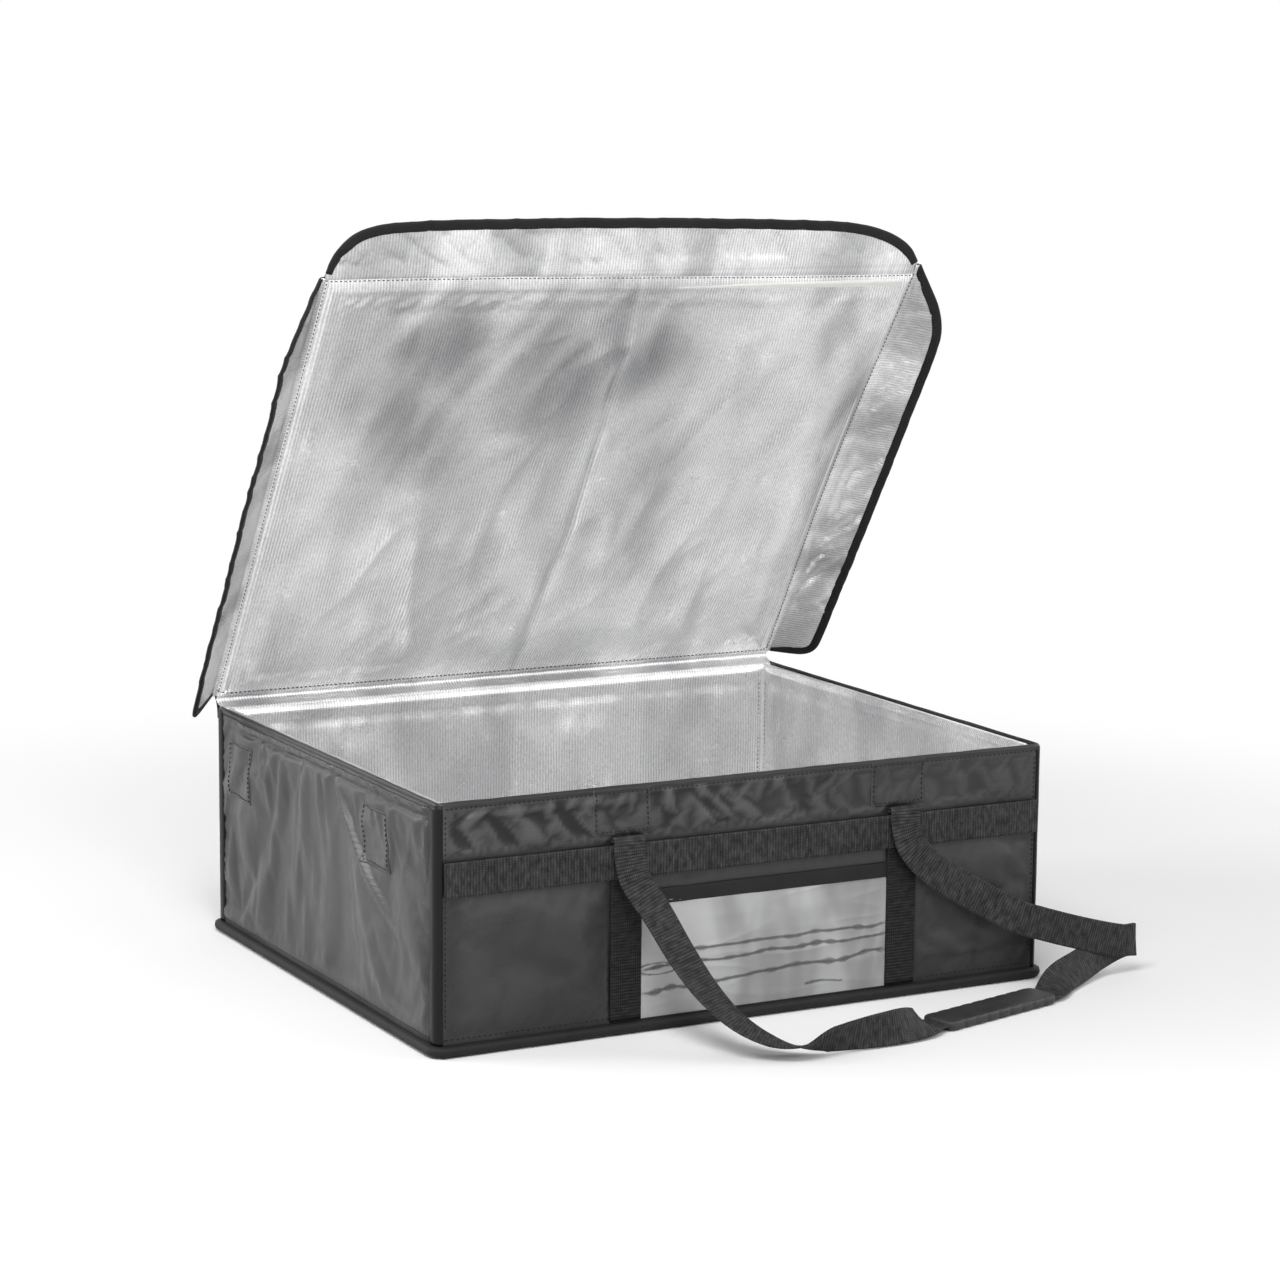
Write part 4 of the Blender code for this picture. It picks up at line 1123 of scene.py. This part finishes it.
tape_low, tape_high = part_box("window_binding")
tape_middle = (Vector(tape_low) + Vector(tape_high)) / 2
tape_stations = []
for i in range(60):
    x = tape_low[0] + (tape_high[0] - tape_low[0]) * i / 59
    bow = 0.0004 * waver(x / 0.03, 0.0, 107.0)
    tape_stations.append((Vector((x, tape_middle.y - abs(bow), tape_middle.z + bow)), Vector((0, -1, 0)),
                          Vector((0, 0, 1)), 1.0))
pocket_tape = swept_tape("pocket_tape", tape_stations,
                         webbing_section(tape_high[2] - tape_low[2], tape_high[1] - tape_low[1]),
                         tape_black)
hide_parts("window_binding")
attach(pocket_tape, "box")


# Lid. A padded panel: foam between the charcoal cover above and the foil lining below. The lining
# stands proud of the seam as a soft cushion with a rounded shoulder, gathered along its edges. It
# was folded down its middle for storing, and that fold stays in it as a sharp crease, with a line of
# painted shade along it.
LID_OPEN = math.radians(56.5)
LID_HALF = 0.252
LID_FRONT = -0.412
LID_REAR = -0.0018
HINGE_HEIGHT = 0.1818
FOIL_SEAM = 0.0061
lid_turn = Matrix.Translation((0.0, DEPTH / 2, HINGE_HEIGHT)) @ Matrix.Rotation(-LID_OPEN, 4, "X")


def lid_place(x, y, z):
    return lid_turn @ Vector((x, y, z))


def edge_spacing(count, fine):
    """Shares from 0 to 1 that crowd together near both ends."""
    shares = []
    for i in range(count + 1):
        t = i / count
        shares.append((1 - fine) * t + fine * (0.5 - 0.5 * math.cos(math.pi * t)))
    return shares


LID_ACROSS = edge_spacing(170, 0.80)
LID_ALONG = edge_spacing(140, 0.80)


def lid_outline(s, t):
    """The panel's own edges: its right side bows in a little, and its front edge too at the right."""
    right = LID_HALF - 0.0008 - 0.0052 * math.sin(math.pi * min(1.0, max(0.0, t))) ** 1.3
    left = -LID_HALF + 0.0008
    front = LID_FRONT + 0.0008 + 0.0068 * rise(s, 0.10, 0.95)
    return left + (right - left) * s, LID_REAR + (front - LID_REAR) * t


def from_own_edge(s, t, x, y):
    """How far inside the panel's own outline this place lies."""
    left, right = lid_outline(0.0, t)[0], lid_outline(1.0, t)[0]
    return min(x - left, right - x, y - lid_outline(s, 1.0)[1], LID_REAR - y)


def swept_way(x, y):
    """The lid's long folds start slantwise at its front seam and turn to run along its sides."""
    from_front = y - LID_FRONT
    return x + 0.85 * from_front * (1 - from_front / 0.55)


def middle_fold(y):
    return 0.0040 + 0.0028 * math.sin(y / 0.045)


def lining_height(s, t, x, y):
    """How far the foil side stands towards the box, from the seam's height, at this place."""
    edge = from_own_edge(s, t, x, y)
    shoulder = math.sin(math.pi / 2 * min(1.0, max(0.0, edge) / 0.0110))
    height = 0.0050 * shoulder + 0.0012 * rise(edge, 0.012, 0.040)
    ridge = 0.0014 * hump(edge, 0.0190, 0.0070) * abs(waver(x / 0.035, y / 0.035, 109.0))
    gathers = 0.0012 * crease((x + y) / 0.012, (x - y) / 0.05, 111.0) * hump(edge, 0.0200, 0.0085)
    inner = rise(edge, 0.010, 0.060)
    across, along = min(1.0, max(0.0, s)), min(1.0, max(0.0, t))
    sag = 0.0085 * (math.sin(math.pi * across) * math.sin(math.pi * along)) ** 0.8
    from_front = y - LID_FRONT
    swept = swept_way(x, y)
    long_folds = 0.0034 * waver(swept / 0.042, from_front / 0.26, 113.0)
    long_folds += 0.0034 * crease(swept / 0.055, from_front / 0.30, 117.0)
    cross_folds = 0.0016 * waver(x / 0.09, y / 0.07, 119.0)
    small = 0.0007 * crease(x / 0.026 + y / 0.05, y / 0.045, 123.0)
    beside = x - middle_fold(y)
    sharp = -0.0044 * math.exp(-abs(beside) / 0.0036) + 0.0022 * hump(beside, 0.0, 0.030)
    return height + ridge + gathers + inner * (sag + long_folds + cross_folds + small + sharp)


def lid_lining_place(i, j):
    s, t = LID_ACROSS[i], LID_ALONG[j]
    x, y = lid_outline(s, t)
    return lid_place(x, y, FOIL_SEAM - lining_height(s, t, x, y)), (x, y)


# Painted shade on the lid's foil, in grey patches: across, along, its reach each way, its lean and its
# strength.
PAINTED_SHADE_PATCHES = ((-0.150, -0.365, 0.065, 0.075, 0.25, 0.80), (-0.060, -0.340, 0.060, 0.095, 0.25, 0.85),
                (0.015, -0.365, 0.055, 0.080, 0.20, 0.85), (-0.155, -0.280, 0.055, 0.070, 0.25, 0.65),
                (-0.030, -0.215, 0.040, 0.070, 0.30, 0.35), (0.060, -0.230, 0.055, 0.070, 0.30, 0.45),
                (0.010, -0.150, 0.035, 0.090, 0.20, 0.45), (0.080, -0.150, 0.045, 0.060, 0.35, 0.40),
                (0.186, -0.365, 0.026, 0.060, 0.20, 0.60), (0.232, -0.250, 0.016, 0.150, 0.00, 0.75),
                (0.228, -0.100, 0.018, 0.090, 0.00, 0.50), (-0.060, -0.120, 0.022, 0.080, 0.25, 0.35),
                (-0.010, -0.060, 0.016, 0.070, 0.20, 0.45), (-0.205, -0.300, 0.018, 0.070, 0.15, 0.35))


def painted_foil_shade(x, y):
    total = 0.0
    for across, along, wide, tall, lean, strength in PAINTED_SHADE_PATCHES:
        a = (x - across - lean * (y - along) + 0.010 * waver(x / 0.03, y / 0.05, 171.0)) / wide
        b = (y - along + 0.015 * waver(x / 0.04, y / 0.06, 173.0)) / tall
        patch = strength * hump(math.hypot(a, b), 0.0, 1.25)
        total = max(total, patch) + 0.12 * patch
    # Painted streaks: the patches grow and fade along the long folds.
    total *= min(1.3, max(0.25, 1 + 1.3 * waver(swept_way(x, y) / 0.020, y / 0.24, 187.0)))
    # The fold down the middle gets a dark line of painted shade with a painted highlight beside it.
    beside = x - middle_fold(y)
    total += 0.55 * math.exp(-abs(beside) / 0.0022) - 0.35 * math.exp(-abs(beside - 0.0065) / 0.0022)
    return min(1.0, max(0.0, total))


# The lid's foil runs down to mid grey, the dark end of its painted shade.
lid_foil = foil_finish("foil_lining_lid", (0.42, 0.42, 0.43), (1.0, 1.0, 1.0), False, 0.31, "painted_foil_shade")
lid_lining_mesh = cloth_piece(170, 140, lid_lining_place)
lid_lining_panel = finished("lid_lining_panel", lid_lining_mesh, lid_foil)
lid_foil_shade_places = lid_lining_panel.data.attributes.new("painted_foil_shade", "FLOAT", "POINT")
from_lid = lid_turn.inverted()
for vertex in lid_lining_panel.data.vertices:
    spot = from_lid @ vertex.co
    lid_foil_shade_places.data[vertex.index].value = painted_foil_shade(spot.x, spot.y)
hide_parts("lid_lining", "lid_seam_front", "lid_seam_left", "lid_seam_right")
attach(lid_lining_panel, "lid")


def lid_cover_place(i, j):
    s, t = LID_ACROSS[i], LID_ALONG[j]
    x, y = lid_outline(s, t)
    edge = from_own_edge(s, t, x, y)
    gathers = 0.0013 * crease((x + y) / 0.02, (x - y) / 0.06, 131.0) * hump(edge, 0.010, 0.011)
    crown = 0.0012 * rise(edge, 0.0, 0.006) + gathers
    folds = (0.0024 * waver(x / 0.11, y / 0.10, 133.0)
             + 0.0010 * crease(x / 0.16 + y / 0.3, y / 0.12, 135.0))
    middle = -0.0020 * math.exp(-abs(x - 0.004) / 0.008)
    return lid_place(x, y, 0.0070 + crown + (0.0010 + folds + middle) * rise(edge, 0.010, 0.060)), (x, y)


lid_cover_mesh = cloth_piece(170, 140, lid_cover_place)
bmesh.ops.reverse_faces(lid_cover_mesh, faces=lid_cover_mesh.faces[:])
lid_cover_panel = finished("lid_cover_panel", lid_cover_mesh, painted_light_fabric)
# Painted highlights on the lid cover's ridges and painted shade in its hollows.
paint_ridge_light(lid_cover_panel, 0.00180, 12)
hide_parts("lid_cover")
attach(lid_cover_panel, "lid")


FOAM_INSET = 0.024
slab = foam_slab((2 * LID_HALF - FOAM_INSET, LID_REAR - LID_FRONT - FOAM_INSET, 0.0050),
                 (0.0, (LID_FRONT + LID_REAR) / 2, 0.0038), 0.0018)
bmesh.ops.transform(slab, matrix=lid_turn, verts=slab.verts)
lid_foam_panel = finished("lid_foam_panel", slab, foam_white)
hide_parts("lid_foam")
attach(lid_foam_panel, "lid")


# Hinge. The back wall's cover runs on over the lid as a fold of the same fabric, and the foil does
# the same inside.
def fold_strip(name, start_end, finish, reverse):
    """A strip along the hinge. Each row of start_end is a place in the y and z of the bag."""
    rows = len(start_end) - 1
    columns = 150

    def place(i, j):
        x = -LID_HALF + 0.002 + (2 * LID_HALF - 0.004) * i / columns
        y, z = start_end[j]
        inner = math.sin(math.pi * j / rows)
        ripple = 0.0006 * crease(x / 0.016, j / 6.0, 141.0 + len(name)) * inner
        return Vector((x, y + ripple * 0.6, z + ripple)), (x, 0.0022 * j)

    mesh_data = cloth_piece(columns, rows, place)
    if reverse:
        bmesh.ops.reverse_faces(mesh_data, faces=mesh_data.faces[:])
    strip = finished(name, mesh_data, finish)
    turn = sum(math.dist(start_end[j], start_end[j + 1]) for j in range(rows))
    return strip


def lid_spot(y, z):
    spot = lid_place(0.0, y, z)
    return spot.y, spot.z


outer_rows = [(0.2056, 0.1700), (0.2058, 0.1740), (0.2062, 0.1775), (0.2072, 0.1805), (0.2086, 0.1838),
              lid_spot(0.0004, 0.0066), lid_spot(-0.0030, 0.0086), lid_spot(-0.0090, 0.0092),
              lid_spot(-0.0160, 0.0090)]
hinge_cover = fold_strip("hinge_cover", outer_rows, coated_fabric, False)
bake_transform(hinge_cover)
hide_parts("lid_hinge_seam")
inner_rows = [(0.1961, 0.1777), (0.1966, 0.1788), (0.1980, 0.1796), (0.2000, 0.1802), (0.2024, 0.1807),
              (0.2040, 0.1812), lid_spot(-0.0008, 0.0036), lid_spot(-0.0024, 0.0038),
              lid_spot(-0.0050, 0.0036), lid_spot(-0.0085, 0.0036)]
hinge_foil = fold_strip("hinge_foil", inner_rows, wall_foil, True)
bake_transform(hinge_foil)


# Lid stitching. Dotted seams run round the lid just inside its edge, and along the hinge.
lid_stitches = bmesh.new()
inward = lid_turn.to_3x3() @ Vector((0.0, 0.0, -1.0))


def lid_seam_route(spots):
    return [(lid_place(x, y, z), inward) for x, y, z in spots]


SEAM_SHARES = [i / 160 for i in range(161)]


def on_lid_foil(s, t):
    """A place on the lining, a hair above the foil."""
    x, y = lid_outline(s, t)
    return x, y, FOIL_SEAM - lining_height(s, t, x, y) - 0.0002


front_line = [on_lid_foil(s, 0.9955) for s in SEAM_SHARES]
left_line = [on_lid_foil(0.0036, t) for t in SEAM_SHARES]
right_line = [on_lid_foil(0.9964, t) for t in SEAM_SHARES]
hinge_line = [on_lid_foil(s, 0.0170) for s in SEAM_SHARES]
for line in (front_line, left_line, right_line, hinge_line):
    stitch_row(lid_stitches, lid_seam_route(line))
lid_thread = finished("lid_thread", lid_stitches, thread_dark)
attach(lid_thread, "lid")


# Flaps. Three unpadded flaps of cover and foil sewn back to back, hung on the lid's front and
# sides. Each has rounded corners and a wide bound edge, and is puckered by its stitching.
FLAP_AXIS_OUT = 0.00135
FLAP_AXIS_UP = 0.00715
flap_foil = foil_finish("foil_lining_flaps", (0.62, 0.62, 0.63), (1.0, 1.0, 1.0), False, 0.33)


def rounded_outline(points, cuts):
    """Round an open outline by cutting its corners again and again. Its ends stay."""
    for _ in range(cuts):
        softer = [points[0]]
        for (a, b), (c, d) in zip(points, points[1:]):
            softer += [(0.75 * a + 0.25 * c, 0.75 * b + 0.25 * d),
                       (0.25 * a + 0.75 * c, 0.25 * b + 0.75 * d)]
        points = softer + [points[-1]]
    return points


def even_outline(points, spacing):
    """The same outline with its points an even distance apart."""
    lengths = [0.0]
    for before, after in zip(points, points[1:]):
        lengths.append(lengths[-1] + math.dist(before, after))
    steps = round(lengths[-1] / spacing)
    even = []
    k = 0
    for i in range(steps + 1):
        due = lengths[-1] * i / steps
        while k < len(lengths) - 2 and lengths[k + 1] < due:
            k += 1
        t = (due - lengths[k]) / max(1e-9, lengths[k + 1] - lengths[k])
        even.append((points[k][0] + (points[k + 1][0] - points[k][0]) * t,
                     points[k][1] + (points[k + 1][1] - points[k][1]) * t))
    return even


SIDE_OUTLINE = [(0.0005, 0.0015), (0.010, 0.0085), (0.022, 0.0180), (0.036, 0.0285), (0.053, 0.0370),
                (0.070, 0.0410), (0.100, 0.0420), (0.211, 0.0425), (0.388, 0.0425), (0.402, 0.0405),
                (0.4085, 0.0320), (0.4095, 0.0190), (0.4095, 0.0080), (0.4095, 0.0015)]
FRONT_OUTLINE = [(0.0010, 0.0015), (0.0030, 0.0100), (0.0100, 0.0240), (0.0220, 0.0340), (0.0465, 0.0405),
                 (0.1500, 0.0415), (0.2500, 0.0405), (0.4000, 0.0370), (0.4460, 0.0330), (0.4760, 0.0240),
                 (0.4940, 0.0130), (0.5020, 0.0015)]


def flap_pieces(name, body, outline, matrix, joint_seed, seam_place, ends):
    """Foil, cover, binding and stitches of one flap. The outline is in (along, out) from its root,
    seam_place gives the place on the lid's seam for a distance along it, and ends says how wide the
    binding still is at its two ends."""
    edge = even_outline(rounded_outline(outline, 3), 0.0030)
    count = len(edge) - 1
    first, last = edge[0][0], edge[-1][0]
    away_ways = []
    for i in range(count + 1):
        before, after = edge[max(0, i - 1)], edge[min(count, i + 1)]
        run = Vector((after[0] - before[0], after[1] - before[1])).normalized()
        away_ways.append(Vector((-run.y, run.x)))
    rows = 18

    def width_left(i):
        return min(1.0, ends[0] + (1 - ends[0]) * i / 9, ends[1] + (1 - ends[1]) * (count - i) / 5)

    def relief(a, b, out_share):
        near = rise(b, 0.002, 0.010) * (1 - 0.5 * rise(out_share, 0.75, 1.0))
        if name != "front":
            near *= 1 - 0.9 * rise(a, 0.352, 0.378)
        wide = 0.0018 * waver(a / 0.07, b / 0.03, joint_seed)
        cross = 0.0021 * crease(a / 0.024 + b / 0.04, b / 0.05, joint_seed + 2.0)
        small = 0.0008 * crease(a / 0.010 - b / 0.03, b / 0.03, joint_seed + 4.0)
        return (wide + cross + small) * near

    def sheet(piece_name, lift, finish, reverse):
        def place(i, j):
            a, b = edge[i]
            root_a = first + (last - first) * i / count
            if j < 2:
                seam_up = FLAP_AXIS_UP + lift - (0.0006 if lift < 0 else 0.0)
                return seam_place(root_a, 0.0020 - 0.0018 * j, seam_up), (root_a, -0.004 + 0.002 * j)
            narrow = width_left(i)
            tip_a, tip_b = a - away_ways[i].x * 0.0016 * narrow, b - away_ways[i].y * 0.0016 * narrow
            t = (j - 2) / (rows - 2)
            along = root_a + (tip_a - root_a) * rise(t, 0.0, 1.0)
            out = max(0.0, tip_b) * t
            inside = rise(math.dist((along, out), (a, b)), 0.0085, 0.0125)
            bound = relief(a, b, 1.0)
            up = bound + (relief(along, out, t) - bound) * inside * rise(t, 0.0, 0.3)
            up = up * rise(out, 0.0, 0.006) + lift * (0.45 + 0.55 * inside)
            return matrix @ Vector((along, out, up)), (along, out)
        mesh_data = cloth_piece(count, rows, place)
        if reverse:
            bmesh.ops.reverse_faces(mesh_data, faces=mesh_data.faces[:])
        bmesh.ops.solidify(mesh_data, geom=mesh_data.faces[:], thickness=0.0004)
        bmesh.ops.recalc_face_normals(mesh_data, faces=mesh_data.faces[:])
        return finished(piece_name, mesh_data, finish)

    foil = sheet(name + "_flap_foil", -0.0007, flap_foil, False)
    outer = sheet(name + "_flap_outside", 0.0007, coated_fabric, True)
    area = sum(0.5 * (p[1] + q[1]) * (q[0] - p[0]) for p, q in zip(edge, edge[1:]))
    for piece, node, slot_name in ((foil, name + "_flap_lining", "foil_lining"),
                                   (outer, name + "_flap_cover", "coated_fabric")):
        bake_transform(piece)
        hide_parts(node)
    stations = []
    stitches = []
    for i, (a, b) in enumerate(edge):
        away = away_ways[i]
        narrow = width_left(i)
        up = relief(a, b, 1.0) * rise(b, 0.0, 0.006)
        spot = Vector((a, b, up))
        lean = Vector((away.x, away.y, 0.0))
        turned = matrix.to_3x3()
        stations.append((matrix @ spot, turned @ lean, turned @ Vector((0, 0, 1)), narrow))
        inside = Vector((a, b, up - 0.0011)) - lean * 0.0058 * narrow
        stitches.append((matrix @ inside, turned @ Vector((0, 0, -1))))
    section = [(0.0, 0.0), (-0.0004, 0.0009), (-0.0014, 0.0013), (-0.0040, 0.0013), (-0.0070, 0.0012),
               (-0.0080, 0.0009), (-0.0080, -0.0009), (-0.0070, -0.0012), (-0.0040, -0.0013),
               (-0.0014, -0.0013), (-0.0004, -0.0009)]
    bound = swept_tape(name + "_flap_bound_edge", stations, section, tape_black)
    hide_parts(name + "_flap_binding")
    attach(bound, body)
    rows_of_thread = bmesh.new()
    stitch_row(rows_of_thread, stitches[2:-2], pitch=0.0040)
    thread = finished(name + "_flap_thread", rows_of_thread, thread_dark)
    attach(thread, body)
    return foil, outer, area, edge


front_fold = lid_turn @ Matrix.Translation((0.0, LID_FRONT - FLAP_AXIS_OUT, FLAP_AXIS_UP))
front_fold = front_fold @ Matrix.Rotation(math.radians(-14.0), 4, "X")
left_fold = lid_turn @ Matrix.Translation((-LID_HALF - FLAP_AXIS_OUT, LID_FRONT + 0.0003, FLAP_AXIS_UP))
left_fold = left_fold @ Matrix.Rotation(math.radians(-48.0), 4, "Y")
right_fold = lid_turn @ Matrix.Translation((LID_HALF + FLAP_AXIS_OUT, LID_FRONT + 0.0003, FLAP_AXIS_UP))
right_fold = right_fold @ Matrix.Rotation(math.radians(18.0), 4, "Y")
FRONT_FLAP_HALF = 0.2517
# From (along, out, up) of a flap to its own frame.
front_way = Matrix(((1, 0, 0, -FRONT_FLAP_HALF), (0, -1, 0, 0), (0, 0, 1, 0), (0, 0, 0, 1)))
left_way = Matrix(((0, -1, 0, 0), (1, 0, 0, 0), (0, 0, 1, 0), (0, 0, 0, 1)))
right_way = Matrix(((0, 1, 0, 0), (1, 0, 0, 0), (0, 0, 1, 0), (0, 0, 0, 1)))


def front_seam(along, tuck, z):
    x = along - FRONT_FLAP_HALF
    x_left, x_right = lid_outline(0.0, 1.0)[0], lid_outline(1.0, 1.0)[0]
    share = min(1.0, max(0.0, (x - x_left) / (x_right - x_left)))
    return lid_place(x, lid_outline(share, 1.0)[1] + tuck, z)


def side_seam(share, along, tuck, z):
    y = min(LID_REAR, LID_FRONT + 0.0003 + along)
    x = lid_outline(share, (y - LID_REAR) / (LID_FRONT - LID_REAR))[0]
    return lid_place(x + (tuck if share == 0.0 else -tuck), y, z)


def left_seam(along, tuck, z):
    return side_seam(0.0, along, tuck, z)


def right_seam(along, tuck, z):
    return side_seam(1.0, along, tuck, z)


for name, fold, way, outline, seed, seam, ends in (
        ("front", front_fold, front_way, FRONT_OUTLINE, 151.0, front_seam, (0.60, 0.80)),
        ("left", left_fold, left_way, SIDE_OUTLINE, 157.0, left_seam, (0.60, 0.50)),
        ("right", right_fold, right_way, SIDE_OUTLINE, 163.0, right_seam, (0.80, 0.50))):
    foil, outer, area, edge = flap_pieces(name, name + "_flap", outline, fold @ way, seed, seam, ends)
    cut_long = max(a for a, b in edge) - min(a for a, b in edge)
    cut_wide = max(b for a, b in edge)


# Handles. One length of the same webbing each, sewn in under a patch, that rolls over the band's
# top edge, falls to the floor and twists on its way back. A rubber sleeve is the grip.
SPAN = 0.230
LEFT_END = -0.103
REACH = 0.112
AXIS_OUT = 0.0032
AXIS_UP = 0.1417
ROLL_RADIUS = 0.0021
GRIP_LENGTH = 0.115
GRIP_TURN = math.radians(15.0)
LEFT_LEG = ((0.00, 0.060, 0.91, (0.00, -0.99, 0.14)), (0.01, 0.10, 0.80, (0.00, -0.96, 0.28)),
            (0.05, 0.21, 0.66, (-0.02, -0.90, 0.42)), (0.10, 0.40, 0.44, (0.05, -0.82, 0.56)),
            (0.14, 0.57, 0.29, (0.15, -0.72, 0.68)), (0.19, 0.76, 0.17, (0.28, -0.55, 0.78)),
            (0.27, 0.91, 0.085, (0.30, -0.25, 0.92)), (0.35, 1.00, 0.060, (0.15, 0.25, 0.96)),
            (0.44, 1.04, 0.087, (0.10, 0.85, 0.50)), (0.65, 1.01, 0.092, (0.15, 0.98, -0.10)),
            (0.80, 0.92, 0.076, (0.12, 0.72, -0.68)))
LOWER_RUN = ((1.50, 0.40, 0.070, (-0.20, 0.62, -0.76)), (1.60, 0.31, 0.098, (-0.30, 0.85, -0.42)),
             (1.71, 0.22, 0.130, (-0.25, 0.95, -0.16)), (1.80, 0.165, 0.158, (-0.10, 0.99, -0.05)),
             (1.850, 0.153, 0.172, (0.20, 0.98, 0.00)), (1.868, 0.183, 0.178, (1.00, 0.00, 0.00)),
             (1.850, 0.213, 0.184, (0.10, -0.99, 0.00)))
RIGHT_LEG = ((1.79, 0.228, 0.196, (-0.10, -0.99, 0.00)), (1.64, 0.262, 0.262, (-0.22, -0.97, 0.04)),
             (1.49, 0.268, 0.338, (-0.22, -0.97, 0.05)), (1.38, 0.225, 0.400, (-0.20, -0.97, 0.08)),
             (1.29, 0.170, 0.480, (-0.15, -0.98, 0.10)), (1.19, 0.128, 0.575, (-0.12, -0.98, 0.12)),
             (1.09, 0.097, 0.685, (-0.06, -0.98, 0.14)), (1.02, 0.074, 0.810, (0.00, -0.98, 0.16)),
             (1.00, 0.060, 0.910, (0.00, -0.99, 0.14)))
grip_heading = Vector((math.cos(GRIP_TURN), math.sin(GRIP_TURN), 0.0))
grip_middle = Vector((LEFT_END + 1.145 * SPAN, -0.655 * REACH + AXIS_OUT, 0.0037 - AXIS_UP))


def strap_route():
    def roll(across):
        pairs = []
        for i in range(6):
            angle = math.radians(-50.0 + 213.0 * i / 5)
            normal = Vector((0.0, math.cos(angle), math.sin(angle)))
            pairs.append((Vector((across, 0.0, 0.0)) + normal * ROLL_RADIUS, normal))
        return pairs

    def leg(rows):
        return [(Vector((LEFT_END + a * SPAN, -b * REACH + AXIS_OUT, c * AXIS_UP - AXIS_UP)),
                 Vector(normal).normalized()) for a, b, c, normal in rows]

    down = Vector((0.0, 0.0, -1.0))
    near = grip_middle - grip_heading * GRIP_LENGTH / 2
    far = grip_middle + grip_heading * GRIP_LENGTH / 2
    sleeve = [(near - grip_heading * 0.008, down), (near, down), (far, down),
              (far + grip_heading * 0.008, down)]
    return (roll(LEFT_END) + leg(LEFT_LEG) + sleeve + leg(LOWER_RUN) + leg(RIGHT_LEG)
            + list(reversed(roll(LEFT_END + SPAN))))


def strap_stations(pairs, steps):
    """A smooth curve through the route, with the strap's face turned evenly along it."""
    places = []
    for i in range(len(pairs) - 1):
        before, after = pairs[max(i - 1, 0)][0], pairs[min(i + 2, len(pairs) - 1)][0]
        start, start_normal = pairs[i]
        end, end_normal = pairs[i + 1]
        span = (end - start).length
        leave = (end - before).normalized() * span
        arrive = (after - start).normalized() * span
        for step in range(steps):
            t = step / steps
            spot = (start * (2 * t ** 3 - 3 * t ** 2 + 1) + leave * (t ** 3 - 2 * t ** 2 + t)
                    + end * (3 * t ** 2 - 2 * t ** 3) + arrive * (t ** 3 - t ** 2))
            places.append((spot, start_normal.lerp(end_normal, t).normalized()))
    places.append(pairs[-1])
    stations = []
    for i, (spot, normal) in enumerate(places):
        run = (places[min(i + 1, len(places) - 1)][0] - places[max(i - 1, 0)][0]).normalized()
        face = (normal - run * normal.dot(run)).normalized()
        stations.append((spot, face, run.cross(face), 1.0))
    return stations


def rubber_finish():
    made, tree, shader = material_base("grip_rubber", 0.48, specular=0.45)
    here = object_place(tree)
    pits = cloudy(tree, here, 900.0, 4.0)
    worn = cloudy(tree, here, 45.0, 4.0)
    tinted(tree, shader, pits, (0.020, 0.020, 0.021), (0.055, 0.055, 0.056), worn)
    tree.links.new(spread(tree, worn, target=(0.36, 0.60)), shader.inputs["Roughness"])
    bumped(tree, shader, ((pits, 0.45, 0.0003),))
    return made


grip_rubber = rubber_finish()
stations = strap_stations(strap_route(), 9)
for side, sign in (("front", -1), ("back", 1)):
    mirror = Matrix.Diagonal((1.0, -sign, 1.0, 1.0)).to_3x3()
    origin = Vector((0.0, sign * (DEPTH / 2 + AXIS_OUT), AXIS_UP))
    placed = [(origin + mirror @ spot, mirror @ face, mirror @ across, 1.0)
              for spot, face, across, _ in stations]
    strap = swept_tape(side + "_strap_webbing", placed,
                       webbing_section(WEBBING_WIDTH, WEBBING_THICK), webbing_black)
    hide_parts(side + "_handle_strap")
    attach(strap, side + "_handle")
    across_grip = Vector((-grip_heading.y, grip_heading.x, 0.0))
    grip_stations = []
    for i in range(121):
        way = -GRIP_LENGTH / 2 + GRIP_LENGTH * i / 120
        ridge = 1.0 - 0.055 * hump((way + 0.2) % 0.0125, 0.00625, 0.0035)
        ridge *= 1.0 - 0.10 * rise(abs(way), GRIP_LENGTH / 2 - 0.002, GRIP_LENGTH / 2)
        grip_stations.append((origin + mirror @ (grip_middle + grip_heading * way), mirror @ across_grip,
                              Vector((0, 0, 1)), ridge))
    half_wide, half_tall = 0.0149, 0.0035
    shell = []
    for k in range(28):
        angle = 2 * math.pi * k / 28
        c, s = math.cos(angle), math.sin(angle)
        shell.append((half_wide * abs(c) ** 0.28 * (1 if c >= 0 else -1),
                      half_tall * abs(s) ** 0.40 * (1 if s >= 0 else -1)))
    grip = swept_tape(side + "_grip_sleeve", grip_stations, shell, grip_rubber)
    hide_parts(side + "_handle_grip")
    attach(grip, side + "_handle")
